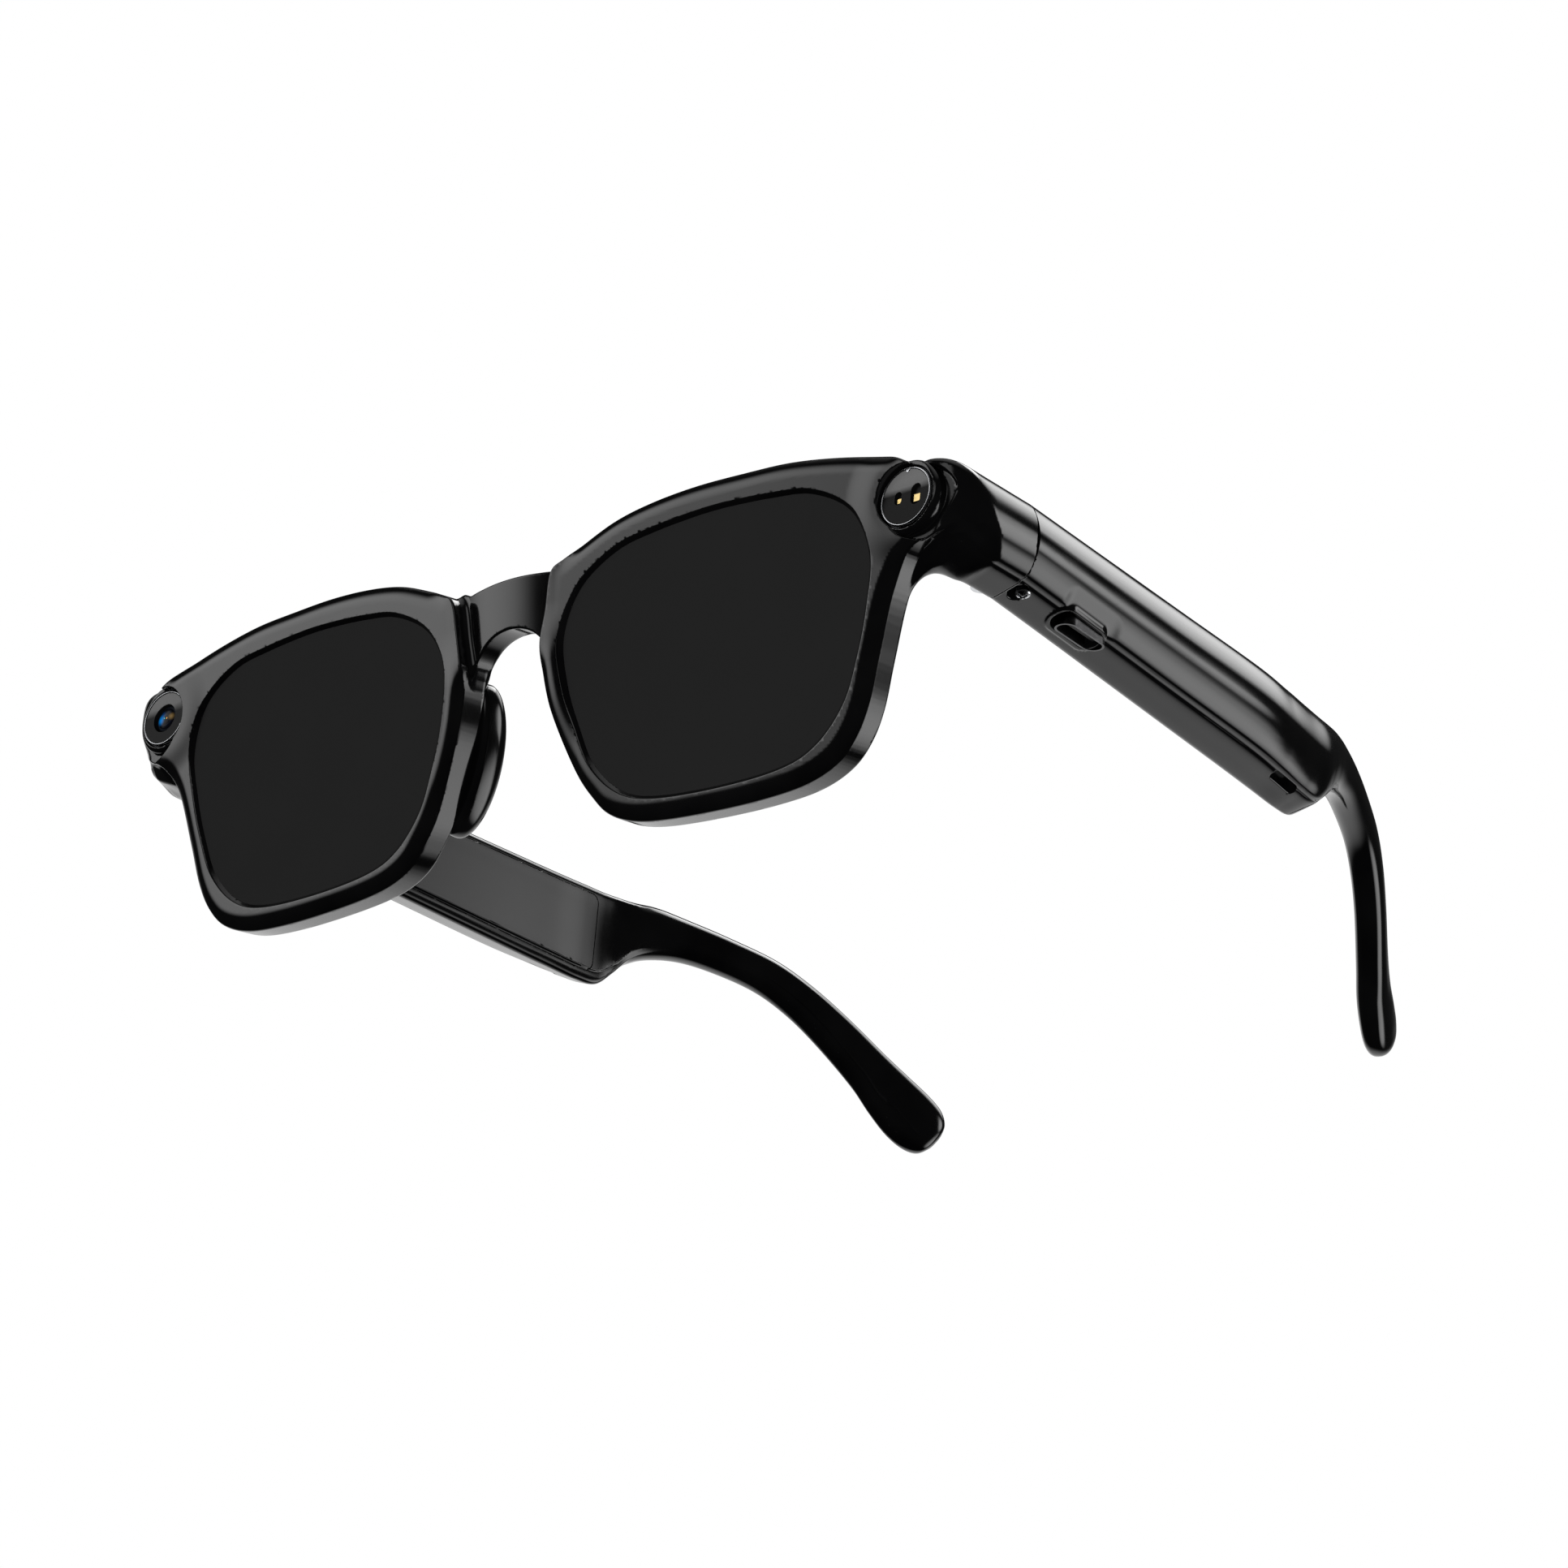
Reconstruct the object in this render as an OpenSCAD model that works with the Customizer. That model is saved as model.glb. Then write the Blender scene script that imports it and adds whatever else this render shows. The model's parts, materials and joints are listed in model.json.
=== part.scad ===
// Smart glasses: front with a camera and a sensor window, two folding temples that hold the electronics.
// Drawn with level temples, then set down on z = 0: rim bottoms and both temple tips touch the surface.
// +X is the wearer's left, -Y is forward, +Z is up. Each right-hand piece is the mirror of its left one.

/* [Front] */
// Width of one visible lens
lens_w = 50; // [46:0.5:52]
// Distance between the two lens centres
lens_pitch = 71.2; // [70:0.2:74]
// How far each side of the front sweeps back, in degrees
wrap = 2.6; // [0:0.1:4]
// How far the front leans forward at the top, in degrees
front_lean = 8.6; // [6:0.1:10]
// Depth of the front from its face to its back
front_depth = 4.5; // [4.2:0.1:5]
// Thickness of a lens
lens_t = 1.8; // [1.6:0.1:2]

/* [Modules] */
// Radius of the flat disc of the camera and of the sensor window
disc_r = 3.7; // [3.5:0.1:3.8]
// Outer radius of the metal ring around a disc
ring_r = 4.2; // [4.1:0.05:4.3]

/* [Temples] */
// Angle that each temple turns in from straight back, in degrees
toe_in = 4.2; // [3:0.1:5]
// Thickness of the hollow part of a temple
temple_t = 8.3; // [8:0.1:8.6]
// Top of a temple above the lens centres
temple_top = 18; // [17.8:0.1:18.4]
// Length of the charging slot
port_l = 8.94; // [8.7:0.02:9]
// Width of the charging slot
port_w = 3.16; // [3:0.02:3.2]

/* [Hinges] */
// Distance of each hinge axis from the middle plane
hinge_x = 66.4; // [66:0.1:66.8]
// Distance of each hinge axis behind the lens centres
hinge_y = 15.3; // [15.2:0.05:15.4]
// Radius of a hinge barrel
barrel_r = 1.45; // [1.3:0.05:1.5]
// Radius of a hinge pin
pin_r = 0.6; // [0.5:0.05:0.7]

/* [Hidden] */

black = [0.05, 0.05, 0.055];
steel = [0.72, 0.73, 0.75];
cx = lens_pitch / 2;
front_y = -0.5;
back_y = front_y + front_depth;
groove = 0.6;
rest_tilt = 4.4;
rest_back = -69.32;
rest_up = 21.95;

// ---- Curves ----
// One point of a smooth curve through p0..p3, between p1 and p2
function spline(p0, p1, p2, p3, t) = 0.5 * (2 * p1 + (p2 - p0) * t
  + (2 * p0 - 5 * p1 + 4 * p2 - p3) * t * t + (3 * p1 - p0 - 3 * p2 + p3) * t * t * t);
// Closed smooth curve through the points, with k steps between two of them
function loop(pts, k) = let (n = len(pts)) [for (i = [0:n - 1], j = [0:k - 1])
  spline(pts[(i + n - 1) % n], pts[i], pts[(i + 1) % n], pts[(i + 2) % n], j / k)];
// Open smooth curve through the points
function run(pts, k) = let (n = len(pts)) concat([for (i = [0:n - 2], j = [0:k - 1])
  spline(pts[max(i - 1, 0)], pts[i], pts[i + 1], pts[min(i + 2, n - 1)], j / k)], [pts[n - 1]]);
function unit(v) = v / norm(v);
// The closed outline moved outwards by d
function grow(pts, d) = let (n = len(pts)) [for (i = [0:n - 1])
  let (t = unit(pts[(i + 1) % n] - pts[(i + n - 1) % n])) pts[i] + d * [t[1], -t[0]]];

// ---- Outlines, seen from the front, x outwards and y up ----
// Visible edge of a 50 mm lens about its centre: wide at the top, narrower at the bottom
lens_points = [[24.2, 0], [25, 6.7], [22.5, 13], [16.7, 16.7], [10.2, 17.8], [0, 18.3], [-10.2, 17.6],
  [-16.3, 16.3], [-22, 12.7], [-24.9, 6.7], [-24.3, 0], [-22.4, -6], [-20, -11.5], [-15.7, -15.7],
  [-10.2, -17.6], [0, -18.3], [10.3, -17.9], [16, -16], [20.3, -11.7], [22.6, -6.1]];
lens_outline = loop([for (p = lens_points) p * lens_w / 50], 4);
function lens_edge(d) = grow(lens_outline, d);
// Outer edge of one side of the front, about the middle plane, up to the end piece
rim_points = [[64, 1.5], [66.6, 5], [70, 6.4], [73.2, 8.4], [73.8, 11.5], [72.2, 14.8], [67.7, 17.2],
  [62, 18.9], [55, 20.7], [48, 21.8], [41, 22.4], [33, 22.5], [25.7, 22], [19.5, 20.9], [13.7, 18.7],
  [9.4, 15.8], [7.4, 11], [7.1, 5.5], [7.75, 0], [9.2, -5], [12.3, -12], [15.1, -16], [17.5, -18.4],
  [20.9, -20], [25.5, -20.9], [33, -21.4], [42, -21.5], [49.5, -20.9], [54.6, -19.1], [57.7, -16.2],
  [59.8, -12.2], [61.5, -6.4]];
rim_outline = loop(rim_points, 3);
// Right half of the bridge, from its top middle round to the top of the nose arch
bridge_points = [[0, 17.4], [4, 17], [7.3, 16.2], [10, 15.4], [10, 4], [7, 4], [6.7, 5.8], [5.6, 7.8],
  [3.4, 9.7], [0, 10.4]];
bridge_outline = concat(bridge_points, [for (i = [len(bridge_points) - 2:-1:1])
  [-bridge_points[i][0], bridge_points[i][1]]]);
// Middle line of the cable channel in the brow, from the middle plane to the module pocket
brow_points = [[0, 13.9], [7, 13.7], [11.5, 15], [16, 18.2], [25, 20.2], [35, 20.6], [45, 20.2],
  [54, 18.9], [60, 17.2]];
function brow_strip(h) = let (c = run(brow_points, 3)) concat([for (p = c) p + [0, h / 2]],
  [for (i = [len(c) - 1:-1:0]) c[i] - [0, h / 2]]);
// Section of a temple just behind the hinge seam
end_section = [[67.5, 7.2], [68.7, 5.6], [70.8, 4.9], [73.6, 5.6], [75.3, 7.5], [75.9, 11.2],
  [75.2, 14.2], [73.5, 16.4], [71.2, 18], [68.8, 18], [67.5, 16.8]];

// ---- Placing ----
module set_down() {
  translate([0, rest_back, rest_up]) rotate([-rest_tilt, 0, 0]) children();
}
module side(s) {
  if (s > 0) children(); else mirror([1, 0, 0]) children();
}
module lean() {
  rotate([front_lean, 0, 0]) children();
}
// The plane of one side of the front: x along the side from the middle plane, z up, y back
module swept() {
  translate([cx, 0, 0]) rotate([0, 0, wrap]) translate([-cx, 0, 0]) children();
}
// A plate with the outline, from y = a to y = b
module plate(outline, a, b) {
  translate([0, b, 0]) rotate([90, 0, 0]) linear_extrude(height = b - a) polygon(outline);
}
// The module axis: a level line forward through the disc, with z forward
disc_at = [66.7, -0.8, 13.1];
module module_axis() {
  translate(disc_at) rotate([90, 0, 0]) children();
}
// Along a temple: x out from its inner face, y back from the seam, z up
module along_temple() {
  translate([67.6, 15, 0]) rotate([0, 0, toe_in]) children();
}
module tube(r_out, r_in, z0, z1) {
  translate([0, 0, z0]) difference() {
    cylinder(r = r_out, h = z1 - z0, $fn = 96);
    translate([0, 0, -1]) cylinder(r = r_in, h = z1 - z0 + 2, $fn = 96);
  }
}
module block(a, b) {
  translate(a) cube(b - a);
}

// ---- Front ----
module lens_seat() {
  translate([cx, 0, 0]) {
    plate(lens_edge(0), front_y - 1, back_y + 1);
    plate(lens_edge(groove), 0, lens_t + 0.1);
  }
}
module end_piece() {
  hull() {
    module_axis() translate([0, 0, -4]) cylinder(r = 5.6, h = 2.6, $fn = 32);
    translate([0, 14.8, 0]) rotate([90, 0, 0]) linear_extrude(height = 4) polygon(end_section);
  }
}
module front_half() {
  lean() swept() difference() {
    plate(rim_outline, front_y + 0.7, back_y);
    lens_seat();
  }
  lean() swept() difference() {
    plate(grow(rim_outline, -0.9), front_y, front_y + 0.71);
    lens_seat();
    module_corner_cut();
  }
  difference() {
    end_piece();
    lean() swept() translate([cx, 0, 0]) plate(lens_edge(groove + 0.7), -9, 12);
  }
  module_axis() tube(ring_r + 0.9, ring_r - 1, -2.6, -0.75);
}
// Keeps the thin front face layer off the corner that carries the module
module module_corner_cut() {
  block([61, -3, -2], [90, 3, 30]);
}
module module_pocket() {
  module_axis() {
    translate([0, 0, -9.4]) cylinder(r = ring_r + 0.05, h = 12, $fn = 96);
  }
}
module brow_channel() {
  lean() swept() plate(brow_strip(1.9), 2.4, back_y + 1);
  lean() swept() block([58.5, 2.4, 14.6], [62.6, 3.2, 17.2]);
}
module hinge_clearance() {
  translate([hinge_x, hinge_y, 0]) cylinder(r = barrel_r + 0.15, h = 30, $fn = 64);
}
module front_frame() {
  color(black) set_down() difference() {
    union() {
      for (s = [1, -1]) side(s) front_half();
      lean() plate(bridge_outline, -0.4, 3.6);
    }
    for (s = [1, -1]) side(s) {
      module_pocket();
      brow_channel();
      hinge_clearance();
      block([hinge_x - 1, 6.9, 6.95], [68.05, hinge_y, 17.05]);
      front_screw_holes(0.62);
    }
  }
}
module front_screw_holes(r) {
  for (z = [9.5, 14.5]) translate([66, 9.2, z]) rotate([0, 90, 0]) cylinder(r = r, h = 5.3, $fn = 32);
}
module rear_brow_cover() {
  color(black) set_down() lean() for (s = [1, -1]) side(s) swept()
    plate(brow_strip(1.8), 3.1, back_y);
}
module front_flex_cable() {
  color([0.75, 0.45, 0.1]) set_down() lean() for (s = [1, -1]) side(s) swept()
    plate(brow_strip(1.5), 2.6, 2.8);
}
module lens() {
  lean() swept() translate([cx, 0, 0]) plate(lens_edge(groove - 0.1), 0.05, lens_t + 0.05);
}
module lens_left() { color([0.12, 0.12, 0.13]) set_down() lens(); }
module lens_right() { color([0.12, 0.12, 0.13]) set_down() side(-1) lens(); }
// A teardrop pad behind the nose side of the rim
module nose_pad() {
  lean() swept() difference() {
    hull() {
      translate([10.2, back_y, -0.5]) scale([0.6, 1, 1]) sphere(r = 4.2, $fn = 32);
      translate([12.6, back_y, -8]) scale([0.6, 0.9, 1]) sphere(r = 4.4, $fn = 32);
      translate([14.6, back_y, -12]) scale([0.6, 0.5, 1]) sphere(r = 3, $fn = 32);
    }
    translate([-10, back_y - 20, -30]) cube([60, 20, 60]);
    translate([cx, 0, 0]) plate(lens_edge(0.5), -5, 12);
  }
}
module nose_pad_left() { color(black) set_down() nose_pad(); }
module nose_pad_right() { color(black) set_down() side(-1) nose_pad(); }

// ---- Camera on the wearer's right, sensor window on the wearer's left ----
module bezel() {
  module_axis() difference() {
    union() {
      tube(ring_r, disc_r + 0.1, -2.4, 0.15);
      tube(ring_r, 3.2, -2.4, -1.2);
    }
    translate([0, 0, 0.35]) rotate_extrude($fn = 96) translate([ring_r + 0.1, 0])
      circle(r = 0.35, $fn = 24);
  }
}
module camera_bezel() { color(steel) set_down() side(-1) bezel(); }
module camera_cover_disc() {
  color([0.33, 0.33, 0.34]) set_down() side(-1) module_axis() tube(disc_r, 2.1, -1.1, 0);
}
module camera_lens() {
  color([0.03, 0.05, 0.12]) set_down() side(-1) module_axis() translate([0, 0, -0.35]) intersection() {
    translate([0, 0, -1.5]) cylinder(r = 2.05, h = 3, $fn = 96);
    translate([0, 0, -4.2]) sphere(r = 4.4, $fn = 96);
    translate([0, 0, -0.9]) cylinder(r = 3, h = 3, $fn = 96);
  }
}
module camera_barrel() {
  color([0.1, 0.1, 0.1]) set_down() side(-1) module_axis() {
    tube(3.1, 2.3, -5.6, -1.3);
    translate([0, 0, -6.4]) cylinder(r = 3.1, h = 0.8, $fn = 96);
  }
}
module module_board() {
  module_axis() translate([-2.9, -2.9, -7.4]) cube([5.8, 5.8, 0.8]);
}
module camera_sensor_board() { color([0.05, 0.3, 0.15]) set_down() side(-1) module_board(); }
module sensor_bezel() { color(steel) set_down() bezel(); }
// Rounded window through the disc, w wide and h high
module window(x, w, h, z0, z1) {
  translate([x, 0, z0]) {
    for (e = [-1, 1]) translate([0, e * (h - w) / 2, 0]) cylinder(r = w / 2, h = z1 - z0, $fn = 48);
    translate([-w / 2, -(h - w) / 2, 0]) cube([w, h - w, z1 - z0]);
  }
}
large_window = [1.6, 1.6, 2.9];
small_window = [-1.25, 1.1, 1.8];
module sensor_window_disc() {
  color([0.37, 0.37, 0.38]) set_down() module_axis() difference() {
    translate([0, 0, -1.1]) cylinder(r = disc_r, h = 1.1, $fn = 96);
    for (q = [large_window, small_window]) window(q[0], q[1], q[2], -0.5, 1);
    translate([0, disc_r, -0.4]) rotate([0, 0, 45]) cube([0.7, 0.7, 1.6], center = true);
  }
}
module sensor_leds() {
  color([0.85, 0.7, 0.3]) set_down() module_axis() for (q = [large_window, small_window])
    translate([q[0] - q[1] * 0.3, -q[2] * 0.32, -0.49]) cube([q[1] * 0.6, q[2] * 0.34, 0.2]);
}
module sensor_board() {
  color([0.05, 0.3, 0.15]) set_down() module_board();
}

// ---- Hinges: the front leaf has the outer knuckles, the temple leaf the middle one ----
hinge_low = 7;
hinge_high = 17;
knuckle_low = 10.2;
knuckle_high = 13.8;
module barrel(z0, z1) {
  translate([hinge_x, hinge_y, z0]) cylinder(r = barrel_r, h = z1 - z0, $fn = 64);
}
module pin_bore() {
  translate([hinge_x, hinge_y, 0]) cylinder(r = pin_r + 0.03, h = 30, $fn = 64);
}
module hinge_front() {
  difference() {
    union() {
      barrel(hinge_low, knuckle_low - 0.1);
      barrel(knuckle_high + 0.1, hinge_high);
      block([66.7, 7, hinge_low], [68, hinge_y - barrel_r + 0.5, hinge_high]);
      for (z = [hinge_low, knuckle_high + 0.1]) block([66.7, 13, z], [hinge_x + barrel_r, hinge_y, z + 3.1]);
    }
    pin_bore();
    front_screw_holes(0.72);
    translate([hinge_x, hinge_y, knuckle_low - 0.1])
      cylinder(r = barrel_r + 0.12, h = knuckle_high - knuckle_low + 0.2, $fn = 64);
  }
}
module hinge_front_left() { color(steel) set_down() hinge_front(); }
module hinge_front_right() { color(steel) set_down() side(-1) hinge_front(); }
module hinge_pin() {
  translate([hinge_x, hinge_y, hinge_low - 0.2])
    cylinder(r = pin_r, h = hinge_high - hinge_low + 0.4, $fn = 64);
}
module hinge_pin_left() { color(steel) set_down() hinge_pin(); }
module hinge_pin_right() { color(steel) set_down() side(-1) hinge_pin(); }
module small_screw(reach) {
  translate([0, 0, -0.3]) cylinder(r = 1, h = 0.5, $fn = 48);
  cylinder(r = 0.6, h = reach, $fn = 32);
}
module front_leaf_screws() {
  color(steel) set_down() for (s = [1, -1], z = [9.5, 14.5]) side(s)
    translate([66.48, 9.2, z]) rotate([0, 90, 0]) small_screw(4.4);
}
// Plate of the temple leaf, along the temple
leaf_x = [-1, 0.35];
leaf_y = [0.6, 9];
module hinge_temple() {
  difference() {
    union() {
      barrel(knuckle_low, knuckle_high);
      along_temple() block([leaf_x[0], leaf_y[0], knuckle_low], [leaf_x[1], 3, knuckle_high]);
      along_temple() block([leaf_x[0], 2.4, hinge_low], [leaf_x[1], leaf_y[1], hinge_high]);
    }
    pin_bore();
    for (z = [[0, knuckle_low], [knuckle_high, 30]]) translate([hinge_x, hinge_y, z[0]])
      cylinder(r = barrel_r + 0.12, h = z[1] - z[0], $fn = 64);
    leaf_screw_holes(0.72);
  }
}
module leaf_screw_holes(r) {
  along_temple() for (z = [9.5, 14.5]) translate([-2, 6.4, z]) rotate([0, 90, 0])
    cylinder(r = r, h = 4.4, $fn = 32);
}
module hinge_temple_left() { color(steel) set_down() hinge_temple(); }
module hinge_temple_right() { color(steel) set_down() side(-1) hinge_temple(); }
module temple_leaf_screws() {
  along_temple() for (z = [9.5, 14.5]) translate([-1.22, 6.4, z]) rotate([0, 90, 0]) small_screw(3.4);
}
module temple_leaf_screws_left() { color(steel) set_down() temple_leaf_screws(); }
module temple_leaf_screws_right() { color(steel) set_down() side(-1) temple_leaf_screws(); }

// ---- Temples ----
// Stations: x, y, z of the middle, thickness, height, how square the section is, dip and turn of the section
function body_station(y, low, square, shrink) = let (inner = 67.6 - (y - 15) * tan(toe_in),
  outer = inner + temple_t + 0.006 * (y - 15))
  [(inner + outer) / 2, y, (low + temple_top) / 2, outer - inner - shrink,
   temple_top - low - shrink, square, 0, 0];
temple_stations = [
  body_station(15.2, 4.9, 3, 0.8), body_station(15.5, 4.9, 3, 0.2), body_station(16, 4.9, 3, 0),
  body_station(30, 4.4, 3.2, 0), body_station(50, 3.6, 3.4, 0), body_station(68, 2.9, 3.4, 0),
  body_station(82, 2.4, 3.2, 0), [66.2, 86, 10.4, 7.6, 15.2, 3, 0, 6], [65, 89, 11.6, 6.4, 12.9, 2.8, 0, 12],
  [63.6, 92, 13, 5.6, 10.2, 2.6, 2, 18], [62.1, 95.5, 14, 5.3, 8.2, 2.5, 4, 22],
  [60.1, 100.7, 14.2, 5, 6.5, 2.4, 8, 22], [57.6, 106.6, 13.5, 4.8, 5.9, 2.3, 17, 23],
  [54.7, 113.1, 12, 4.6, 5.9, 2.3, 26, 24], [52.1, 118.4, 9.3, 4.5, 6.1, 2.3, 35, 27],
  [49.4, 123.3, 5.5, 4.4, 6.6, 2.3, 40, 30], [46.2, 128.6, 0.4, 4.4, 7.5, 2.3, 43, 28],
  [44.1, 132.4, -3.2, 4.5, 8.1, 2.3, 42, 24], [42.5, 136, -6.2, 4.5, 8, 2.3, 40, 22],
  [41.3, 139, -8.2, 4.2, 7, 2.3, 38, 20], [40.6, 141, -9.4, 3.4, 4.6, 2.2, 36, 20],
  [40.3, 141.9, -10, 1.4, 1.8, 2.2, 36, 20]];
// A point of a rounded section: thickness w, height h, exponent n
function section_point(w, h, n, a) = let (c = cos(a), s = sin(a))
  [sign(c) * w / 2 * pow(abs(c), 2 / n), sign(s) * h / 2 * pow(abs(s), 2 / n)];
function section_ring(q, inset, steps) = let (d = q[6], t = q[7], across = [cos(t), sin(t), 0],
  up = [-sin(t) * sin(d), cos(t) * sin(d), cos(d)]) [for (i = [0:steps - 1])
  let (p = section_point(q[3] - 2 * inset, q[4] - 2 * inset, q[5], i * 360 / steps))
  [q[0], q[1], q[2]] + p[0] * across + p[1] * up];
// A closed skin over rings of equal size
module skin(rings) {
  n = len(rings[0]);
  m = len(rings);
  polyhedron(points = [for (r = rings, p = r) p], convexity = 6, faces = concat(
    [[for (i = [n - 1:-1:0]) i]], [[for (i = [0:n - 1]) (m - 1) * n + i]],
    [for (k = [0:m - 2], i = [0:n - 1]) let (j = (i + 1) % n)
      each [[k * n + i, k * n + j, (k + 1) * n + i], [k * n + j, (k + 1) * n + j, (k + 1) * n + i]]]));
}
module temple_body() {
  skin([for (q = run(temple_stations, 2)) section_ring(q, 0, 28)]);
}
cover_y = [10.2, 70.5];
cover_z = [7, 16.4];
// A plate with rounded corners in the plane of the temple's inner face
module side_plate(x, y, z, r) {
  hull() for (b = [y[0] + r, y[1] - r], c = [z[0] + r, z[1] - r])
    translate([x[0], b, c]) rotate([0, 90, 0]) cylinder(r = r, h = x[1] - x[0], $fn = 32);
}
// The inside of a temple, open towards the head under its cover
module temple_hollow() {
  along_temple() {
    block([1, 11.4, 7.6], [6.3, 69.3, 15.8]);
    block([-2, cover_y[0] - 0.1, cover_z[0] - 0.1], [1, cover_y[1] + 0.1, cover_z[1] + 0.1]);
  }
}
port_at = [71.2, 29.4];
module stadium(l, w, z0, z1) {
  translate([0, 0, z0]) {
    for (e = [-1, 1]) translate([0, e * (l - w) / 2, 0]) cylinder(r = w / 2, h = z1 - z0, $fn = 64);
    translate([-w / 2, -(l - w) / 2, 0]) cube([w, l - w, z1 - z0]);
  }
}
// The charging slot's own axis: its length follows the temple
module port_axis() {
  translate([port_at[0], port_at[1], 0]) rotate([0, 0, toe_in]) children();
}
screw_at = [71.4, 17.4];
slot_at = [4.6, 63.9];
module temple_shell() {
  difference() {
    temple_body();
    temple_hollow();
    hinge_clearance();
    along_temple()
      block([leaf_x[0] - 3, -1, hinge_low - 0.05], [leaf_x[1] + 0.05, leaf_y[1] + 0.05, hinge_high + 0.05]);
    tip_core();
    leaf_screw_holes(0.62);
    port_axis() stadium(port_l + 0.1, port_w + 0.1, 0, 11.4);
    translate([screw_at[0], screw_at[1], 0]) cylinder(r = 1.4, h = 5.9, $fn = 48);
    translate([screw_at[0], screw_at[1], 0]) cylinder(r = 0.72, h = 10, $fn = 48);
    along_temple() translate([slot_at[0], slot_at[1], 0]) stadium(6, 1.3, 0, 8);
  }
}
module temple_shell_left() { color(black) set_down() temple_shell(); }
module button_well(grow_by) {
  along_temple() translate([4.2, 14, 0]) stadium(8 + 2 * grow_by, 3 + 2 * grow_by, 15, 20);
}
module temple_shell_right() {
  color(black) set_down() side(-1) difference() {
    temple_shell();
    button_well(0.12);
  }
}
module temple_cover() {
  along_temple() intersection() {
    block([0.15, cover_y[0], cover_z[0]], [0.95, cover_y[1], cover_z[1]]);
    side_plate([0.1, 1], [cover_y[0], cover_y[1]], [cover_z[0], cover_z[1]], 1);
  }
}
module temple_cover_left() { color(black) set_down() temple_cover(); }
module temple_cover_right() { color(black) set_down() side(-1) temple_cover(); }
module housing_screw() {
  translate([screw_at[0], screw_at[1], 5.3]) difference() {
    union() {
      cylinder(r = 1.15, h = 0.55, $fn = 48);
      cylinder(r = 0.65, h = 4, $fn = 48);
    }
    for (a = [0, 90]) rotate([0, 0, a]) translate([-0.75, -0.14, -0.1]) cube([1.5, 0.28, 0.4]);
  }
}
module housing_screw_left() { color(steel) set_down() housing_screw(); }
module housing_screw_right() { color(steel) set_down() side(-1) housing_screw(); }

// ---- Electronics in the temples ----
module battery() {
  along_temple() side_plate([2.4, 6], [41, 62], [7.9, 15.5], 1.2);
}
module battery_left() { color([0.6, 0.62, 0.65]) set_down() battery(); }
module battery_right() { color([0.6, 0.62, 0.65]) set_down() side(-1) battery(); }
module speaker() {
  along_temple() {
    side_plate([1.4, 5.6], [63, 69.1], [8.3, 15.4], 0.8);
    translate([5.6, 66, 11.9]) rotate([0, 90, 0]) cylinder(r = 2, h = 0.5, $fn = 48);
  }
}
module speaker_left() { color([0.2, 0.2, 0.22]) set_down() speaker(); }
module speaker_right() { color([0.2, 0.2, 0.22]) set_down() side(-1) speaker(); }
module speaker_mesh() {
  along_temple() translate([slot_at[0], slot_at[1], 0]) difference() {
    stadium(5.9, 1.2, 5.2, 5.6);
    for (i = [-5:5], j = [-1, 1]) translate([j * 0.24, i * 0.46, 5]) cylinder(r = 0.13, h = 1, $fn = 16);
  }
}
module speaker_mesh_left() { color([0.3, 0.3, 0.3]) set_down() speaker_mesh(); }
module speaker_mesh_right() { color([0.3, 0.3, 0.3]) set_down() side(-1) speaker_mesh(); }
// Wire core of the ear hook
core_stations = [for (i = [11:18]) temple_stations[i]];
module tip_core() {
  skin([for (q = run(core_stations, 2)) section_ring([q[0], q[1], q[2], 1.2, 1.8, 2, q[6], q[7]], 0, 12)]);
}
module tip_core_left() { color(steel) set_down() tip_core(); }
module tip_core_right() { color(steel) set_down() side(-1) tip_core(); }
module board(y0, y1) {
  along_temple() {
    block([1.3, y0, 7.9], [2.1, y1, 15.5]);
    for (y = [y0 + 8:7:y1 - 4]) block([2.1, y, 12], [2.9, y + 4.4, 15]);
  }
}
module main_board() { color([0.05, 0.3, 0.15]) set_down() board(12, 40); }
module aux_board() { color([0.05, 0.3, 0.15]) set_down() side(-1) board(20, 40); }
// Touch film on the inside of the outer wall
module touch_pad_film() {
  color([0.75, 0.45, 0.1]) set_down() along_temple() block([6.05, 24, 9], [6.25, 58, 15]);
}
module usb_c_shell() {
  color(steel) set_down() port_axis() difference() {
    stadium(port_l, port_w, 4.7, 11.3);
    stadium(port_l - 0.6, port_w - 0.6, 4, 10.6);
  }
}
module usb_c_tongue() {
  color([0.08, 0.08, 0.08]) set_down() port_axis() block([-0.35, -3.35, 5.6], [0.35, 3.35, 10.6]);
}
module microphones() {
  color(steel) set_down() along_temple() block([2.9, 33.5, 8.4], [3.8, 36.3, 11]);
}
module button_switch() {
  color([0.2, 0.2, 0.2]) set_down() side(-1) along_temple() block([2.9, 12.2, 11.2], [5.5, 15.8, 14.05]);
}
module capture_button() {
  color(black) set_down() side(-1) along_temple() translate([4.2, 14, 0]) {
    stadium(8, 3, 16.4, 18.5);
    translate([0, 0, 14.4]) cylinder(r = 0.7, h = 2, $fn = 48);
  }
}

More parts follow.
